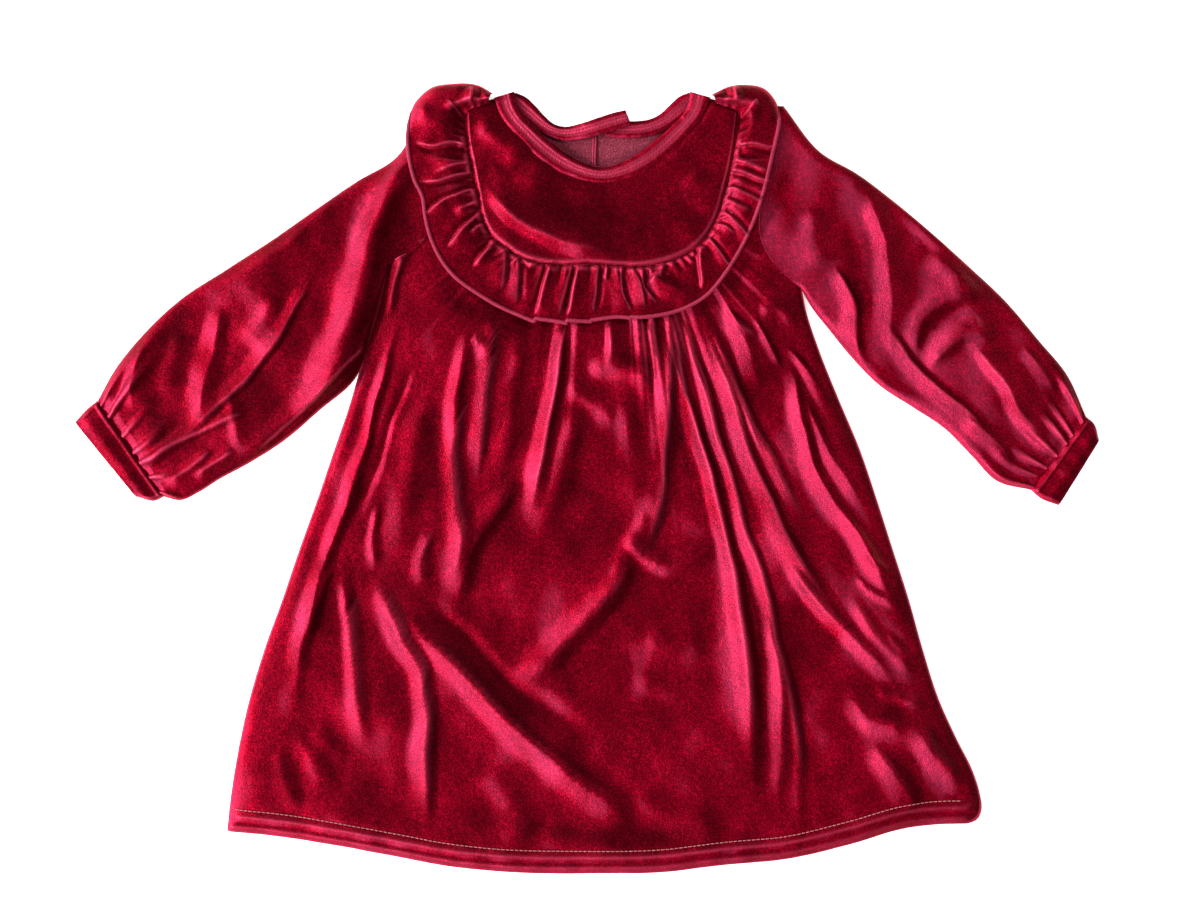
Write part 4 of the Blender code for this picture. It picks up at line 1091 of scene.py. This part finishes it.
def band_mesh(name, seam, edge, columns, rows, top, material=VELVET):
    points = band_points(seam, edge, columns, rows, top)
    return grid_mesh(name, points, material, wall=1.9)


def dashes(path, stitch, gap, lift, arch=0.25, slant=0.0, points=5):
    """Stitches as short arched runs along a path of x, y, z points."""
    path = np.asarray(path, float)
    length = np.concatenate([[0], np.cumsum(np.linalg.norm(np.diff(path, axis=0), axis=1))])
    out, at = [], gap
    side = np.gradient(path, axis=0)
    side = np.stack([-side[:, 1], side[:, 0]], -1)
    side /= np.linalg.norm(side, axis=1)[:, None] + 1e-9
    while at + stitch < length[-1]:
        s = np.linspace(at, at + stitch, points)
        run = np.stack([np.interp(s, length, path[:, k]) for k in range(3)], -1)
        across = np.stack([np.interp(s, length, side[:, k]) for k in range(2)], -1)
        run[:, :2] += across * np.linspace(-slant / 2, slant / 2, points)[:, None]
        run[:, 2] += lift + arch * np.sin(np.linspace(0, math.pi, points)) - arch * 0.6
        out.append(run)
        at += stitch + gap
    return out


# ---------------------------------------------------------------- back panel
def make_back_panel():
    outline = [tuple(p) for p in along(SHOULDER_LEFT, np.linspace(0, 1, 6))]
    outline += [tuple(p) for p in armhole(ARMHOLE_LEFT, 1.0, np.linspace(0, 1, 24))[1:]]
    outline += [tuple(p) for p in along(SIDE_LEFT, np.linspace(0, 1, 50))[1:]]
    outline += [tuple(p) for p in along(HEM, np.linspace(0, 1, 80))[1:]]
    outline += [tuple(p) for p in along(SIDE_RIGHT, np.linspace(0, 1, 50))[::-1][1:]]
    outline += [tuple(p) for p in armhole(ARMHOLE_RIGHT, 1.0, np.linspace(0, 1, 24))[::-1][1:]]
    outline += [tuple(p) for p in along(SHOULDER_RIGHT, np.linspace(0, 1, 6))[::-1][1:]]
    way = np.linspace(0, 1, 24)
    right = [p for p in 0.4 * along(BACK_SEAM_RIGHT, way) + 0.6 * along(BACK_EDGE_RIGHT, way) if p[0] > 14]
    outline += [tuple(p) for p in right[1:]]
    outline += [(5.9, 246.0), (5.4, 172.0), (4.8, 172.0), (4.9, 243.5)]
    way = np.linspace(0, 1, 30)
    left = [p for p in (0.4 * along(BACK_SEAM_LEFT, way) + 0.6 * along(BACK_EDGE_LEFT, way))[::-1] if p[0] < 1]
    outline += [tuple(p) for p in left[:-1]]
    curve = bpy.data.curves.new("back_outline", "CURVE")
    curve.dimensions = "2D"
    curve.fill_mode = "BOTH"
    curve.extrude = 0.5 * MM
    spline = curve.splines.new("POLY")
    spline.points.add(len(outline) - 1)
    for point, (x, y) in zip(spline.points, outline):
        point.co = (x * MM, y * MM, 0.0, 1.0)
    spline.use_cyclic_u = True
    temp = bpy.data.objects.new("back_outline", curve)
    bpy.context.scene.collection.objects.link(temp)
    bpy.context.view_layer.update()
    mesh = bpy.data.meshes.new_from_object(temp.evaluated_get(bpy.context.evaluated_depsgraph_get()))
    bpy.data.objects.remove(temp, do_unlink=True)
    mesh.name = "back_panel_cloth"
    for v in mesh.vertices:
        v.co.z += 0.65 * MM
    mesh.materials.clear()
    mesh.materials.append(WRONG)
    mesh.materials.append(VELVET)
    for p in mesh.polygons:
        p.material_index = 0 if p.normal.z > 0.5 else 1
    paint_light_and_shade(mesh)
    obj = bpy.data.objects.new("back_panel_cloth", mesh)
    bpy.context.scene.collection.objects.link(obj)
    return obj


# ---------------------------------------------------------------- build
skirt, skirt_outline = make_front_skirt()
yoke = make_front_yoke()
ruffle = make_ruffle()
ruffle_edge = make_ruffle_edge()
# the right sleeve's shift of 0.24 paints its light lighter
sleeve_l = make_sleeve("sleeve_left_cloth", SLEEVE_LEFT, SLEEVE_LEFT_FOLDS, 3, 3.0, 0.0, 13.0)
sleeve_r = make_sleeve("sleeve_right_cloth", SLEEVE_RIGHT, SLEEVE_RIGHT_FOLDS, 8, 2.2, 0.24, 8.0)
cuff_l = make_cuff("cuff_left_cloth", CUFF_LEFT, 4)
cuff_r = make_cuff("cuff_right_cloth", CUFF_RIGHT, 9)
back = make_back_panel()
band_f = band_mesh("neck_binding_front_cloth", both_halves(NECK_SEAM_HALF), both_halves(NECK_EDGE_HALF), 240, 26, front_band_top)
band_l = band_mesh("neck_binding_back_left_cloth", BACK_SEAM_LEFT, BACK_EDGE_LEFT, 120, 26, back_left_top)
band_r = band_mesh("neck_binding_back_right_cloth", BACK_SEAM_RIGHT, BACK_EDGE_RIGHT, 90, 26, back_right_top)

# hem topstitching
hem_s = np.linspace(0.006, 0.994, 900)
hem_path = along(HEM, hem_s)
run = np.gradient(hem_path, axis=0)
normal = np.stack([-run[:, 1], run[:, 0]], -1)
normal /= np.linalg.norm(normal, axis=1)[:, None]
line = hem_path + normal * 15.4
line_z = skirt_z(line[:, 0], line[:, 1])
hem_stitches = tube_mesh(
    "hem_stitching", dashes(np.column_stack([line, line_z]), 2.3, 0.9, 0.55), 0.32, PALE_THREAD, sides=5
)


def band_line(seam, edge, top, v, count=500, start=0.01, end=0.99):
    s = np.linspace(start, end, count)
    a, b = along(seam, s), along(edge, s)
    p = a + (b - a) * v
    vv = v
    z = top(p[:, 0], p[:, 1]) - (2 * vv - 1) ** 4 - 0.2
    return np.column_stack([p, z])


paths = []
for seam, edge, top in (
    (both_halves(NECK_SEAM_HALF), both_halves(NECK_EDGE_HALF), front_band_top),
    (BACK_SEAM_LEFT, BACK_EDGE_LEFT, back_left_top),
    (BACK_SEAM_RIGHT, BACK_EDGE_RIGHT, back_right_top),
):
    for v in (0.42, 0.62):
        paths += dashes(band_line(seam, edge, top, v), 1.3, 1.1, 0.30, arch=0.25)
s_end = np.linspace(0.18, 0.84, 40)
for at in (0.9, 0.975):
    a, b = along(BACK_SEAM_LEFT, np.array([at]))[0], along(BACK_EDGE_LEFT, np.array([at]))[0]
    p = a + (b - a) * s_end[:, None]
    z = back_left_top(p[:, 0], p[:, 1]) - (2 * s_end - 1) ** 4
    paths += dashes(np.column_stack([p, z]), 1.3, 0.8, 0.32, arch=0.25)
neck_stitches = tube_mesh("neck_stitching", paths, 0.34, SEAM_THREAD, sides=5)

# the back slit's two edges are overlocked
slit = []
for x, end in ((4.35, 243.0), (5.95, 245.0)):
    yy = np.linspace(172.5, end, 260)
    slit.append(np.column_stack([x + 0.25 * np.sin(yy * 0.19) + 0 * yy, yy, np.full_like(yy, 1.75)]))
slit_length = np.linspace(0, 72, 260)
slit_edge = tube_mesh(
    "slit_overlock", slit, 0.95, EDGE_THREAD, sides=7, profile=lambda n: 0.82 + 0.18 * np.abs(np.sin(math.pi * slit_length / 1.6))
)

pieces = [
    (skirt, ["front_skirt"]),
    (yoke, ["front_yoke"]),
    (ruffle, ["ruffle"]),
    (sleeve_l, ["sleeve_left"]),
    (sleeve_r, ["sleeve_right"]),
    (cuff_l, ["cuff_left"]),
    (cuff_r, ["cuff_right"]),
    (back, ["back_panel"]),
    (band_f, ["neck_binding_front"]),
    (band_l, ["neck_binding_back_left"]),
    (band_r, ["neck_binding_back_right"]),
    (ruffle_edge, []),
    (hem_stitches, []),
    (neck_stitches, []),
    (slit_edge, []),
]
for piece, nodes in pieces:
    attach(piece, "root")
    if nodes:
        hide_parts(*nodes)

# ---------------------------------------------------------------- floor, light, camera
floor_mesh = bpy.data.meshes.new("floor")
size = 6.0
floor_mesh.from_pydata(
    [(-size, -size, -0.0006), (size, -size, -0.0006), (size, size, -0.0006), (-size, size, -0.0006)], [], [(0, 1, 2, 3)]
)
floor = bpy.data.objects.new("floor", floor_mesh)
bpy.context.scene.collection.objects.link(floor)
paper = bpy.data.materials.new("pale_floor")
paper.use_nodes = True
paper.node_tree.nodes["Principled BSDF"].inputs["Base Color"].default_value = (0.92, 0.92, 0.92, 1)
paper.node_tree.nodes["Principled BSDF"].inputs["Roughness"].default_value = 0.9
paper.node_tree.nodes["Principled BSDF"].inputs["Emission Color"].default_value = (1.0, 1.0, 1.0, 1)
paper.node_tree.nodes["Principled BSDF"].inputs["Emission Strength"].default_value = 0.55
floor_mesh.materials.append(paper)

world = bpy.data.worlds.new("studio")
bpy.context.scene.world = world
world.use_nodes = True
world.node_tree.nodes["Background"].inputs["Color"].default_value = (1.0, 1.0, 1.0, 1)
world.node_tree.nodes["Background"].inputs["Strength"].default_value = 0.26


def area_light(name, azimuth, elevation, distance, size_x, size_y, power):
    data = bpy.data.lights.new(name, "AREA")
    data.shape = "RECTANGLE"
    data.size, data.size_y = size_x, size_y
    data.energy = power
    light = bpy.data.objects.new(name, data)
    a, e = math.radians(azimuth), math.radians(elevation)
    place = Vector((math.cos(a) * math.cos(e), math.sin(a) * math.cos(e), math.sin(e))) * distance
    light.location = place
    light.rotation_euler = (-place).to_track_quat("-Z", "Y").to_euler()
    bpy.context.scene.collection.objects.link(light)
    return light


area_light("key", 178, 29, 5.0, 1.3, 1.0, 392)
area_light("key_high", 132, 30, 5.0, 1.2, 1.0, 175)
area_light("key_low", 232, 30, 5.0, 1.3, 1.0, 230)
area_light("top", 240, 50, 4.4, 1.2, 1.2, 60)
area_light("fill", 30, 46, 4.8, 1.6, 1.6, 76)

camera_data = bpy.data.cameras.new("camera")
camera_data.lens = 60.0
camera_data.sensor_width = 36.0
camera = bpy.data.objects.new("camera", camera_data)
camera.location = (0.0091, 0.0196, 1.4 + 0.006)
camera.rotation_euler = (0.0, 0.0, 0.0)
bpy.context.scene.collection.objects.link(camera)
bpy.context.scene.camera = camera
bpy.context.scene.view_settings.view_transform = "Standard"
bpy.context.scene.view_settings.look = "None"

bpy.context.view_layer.update()
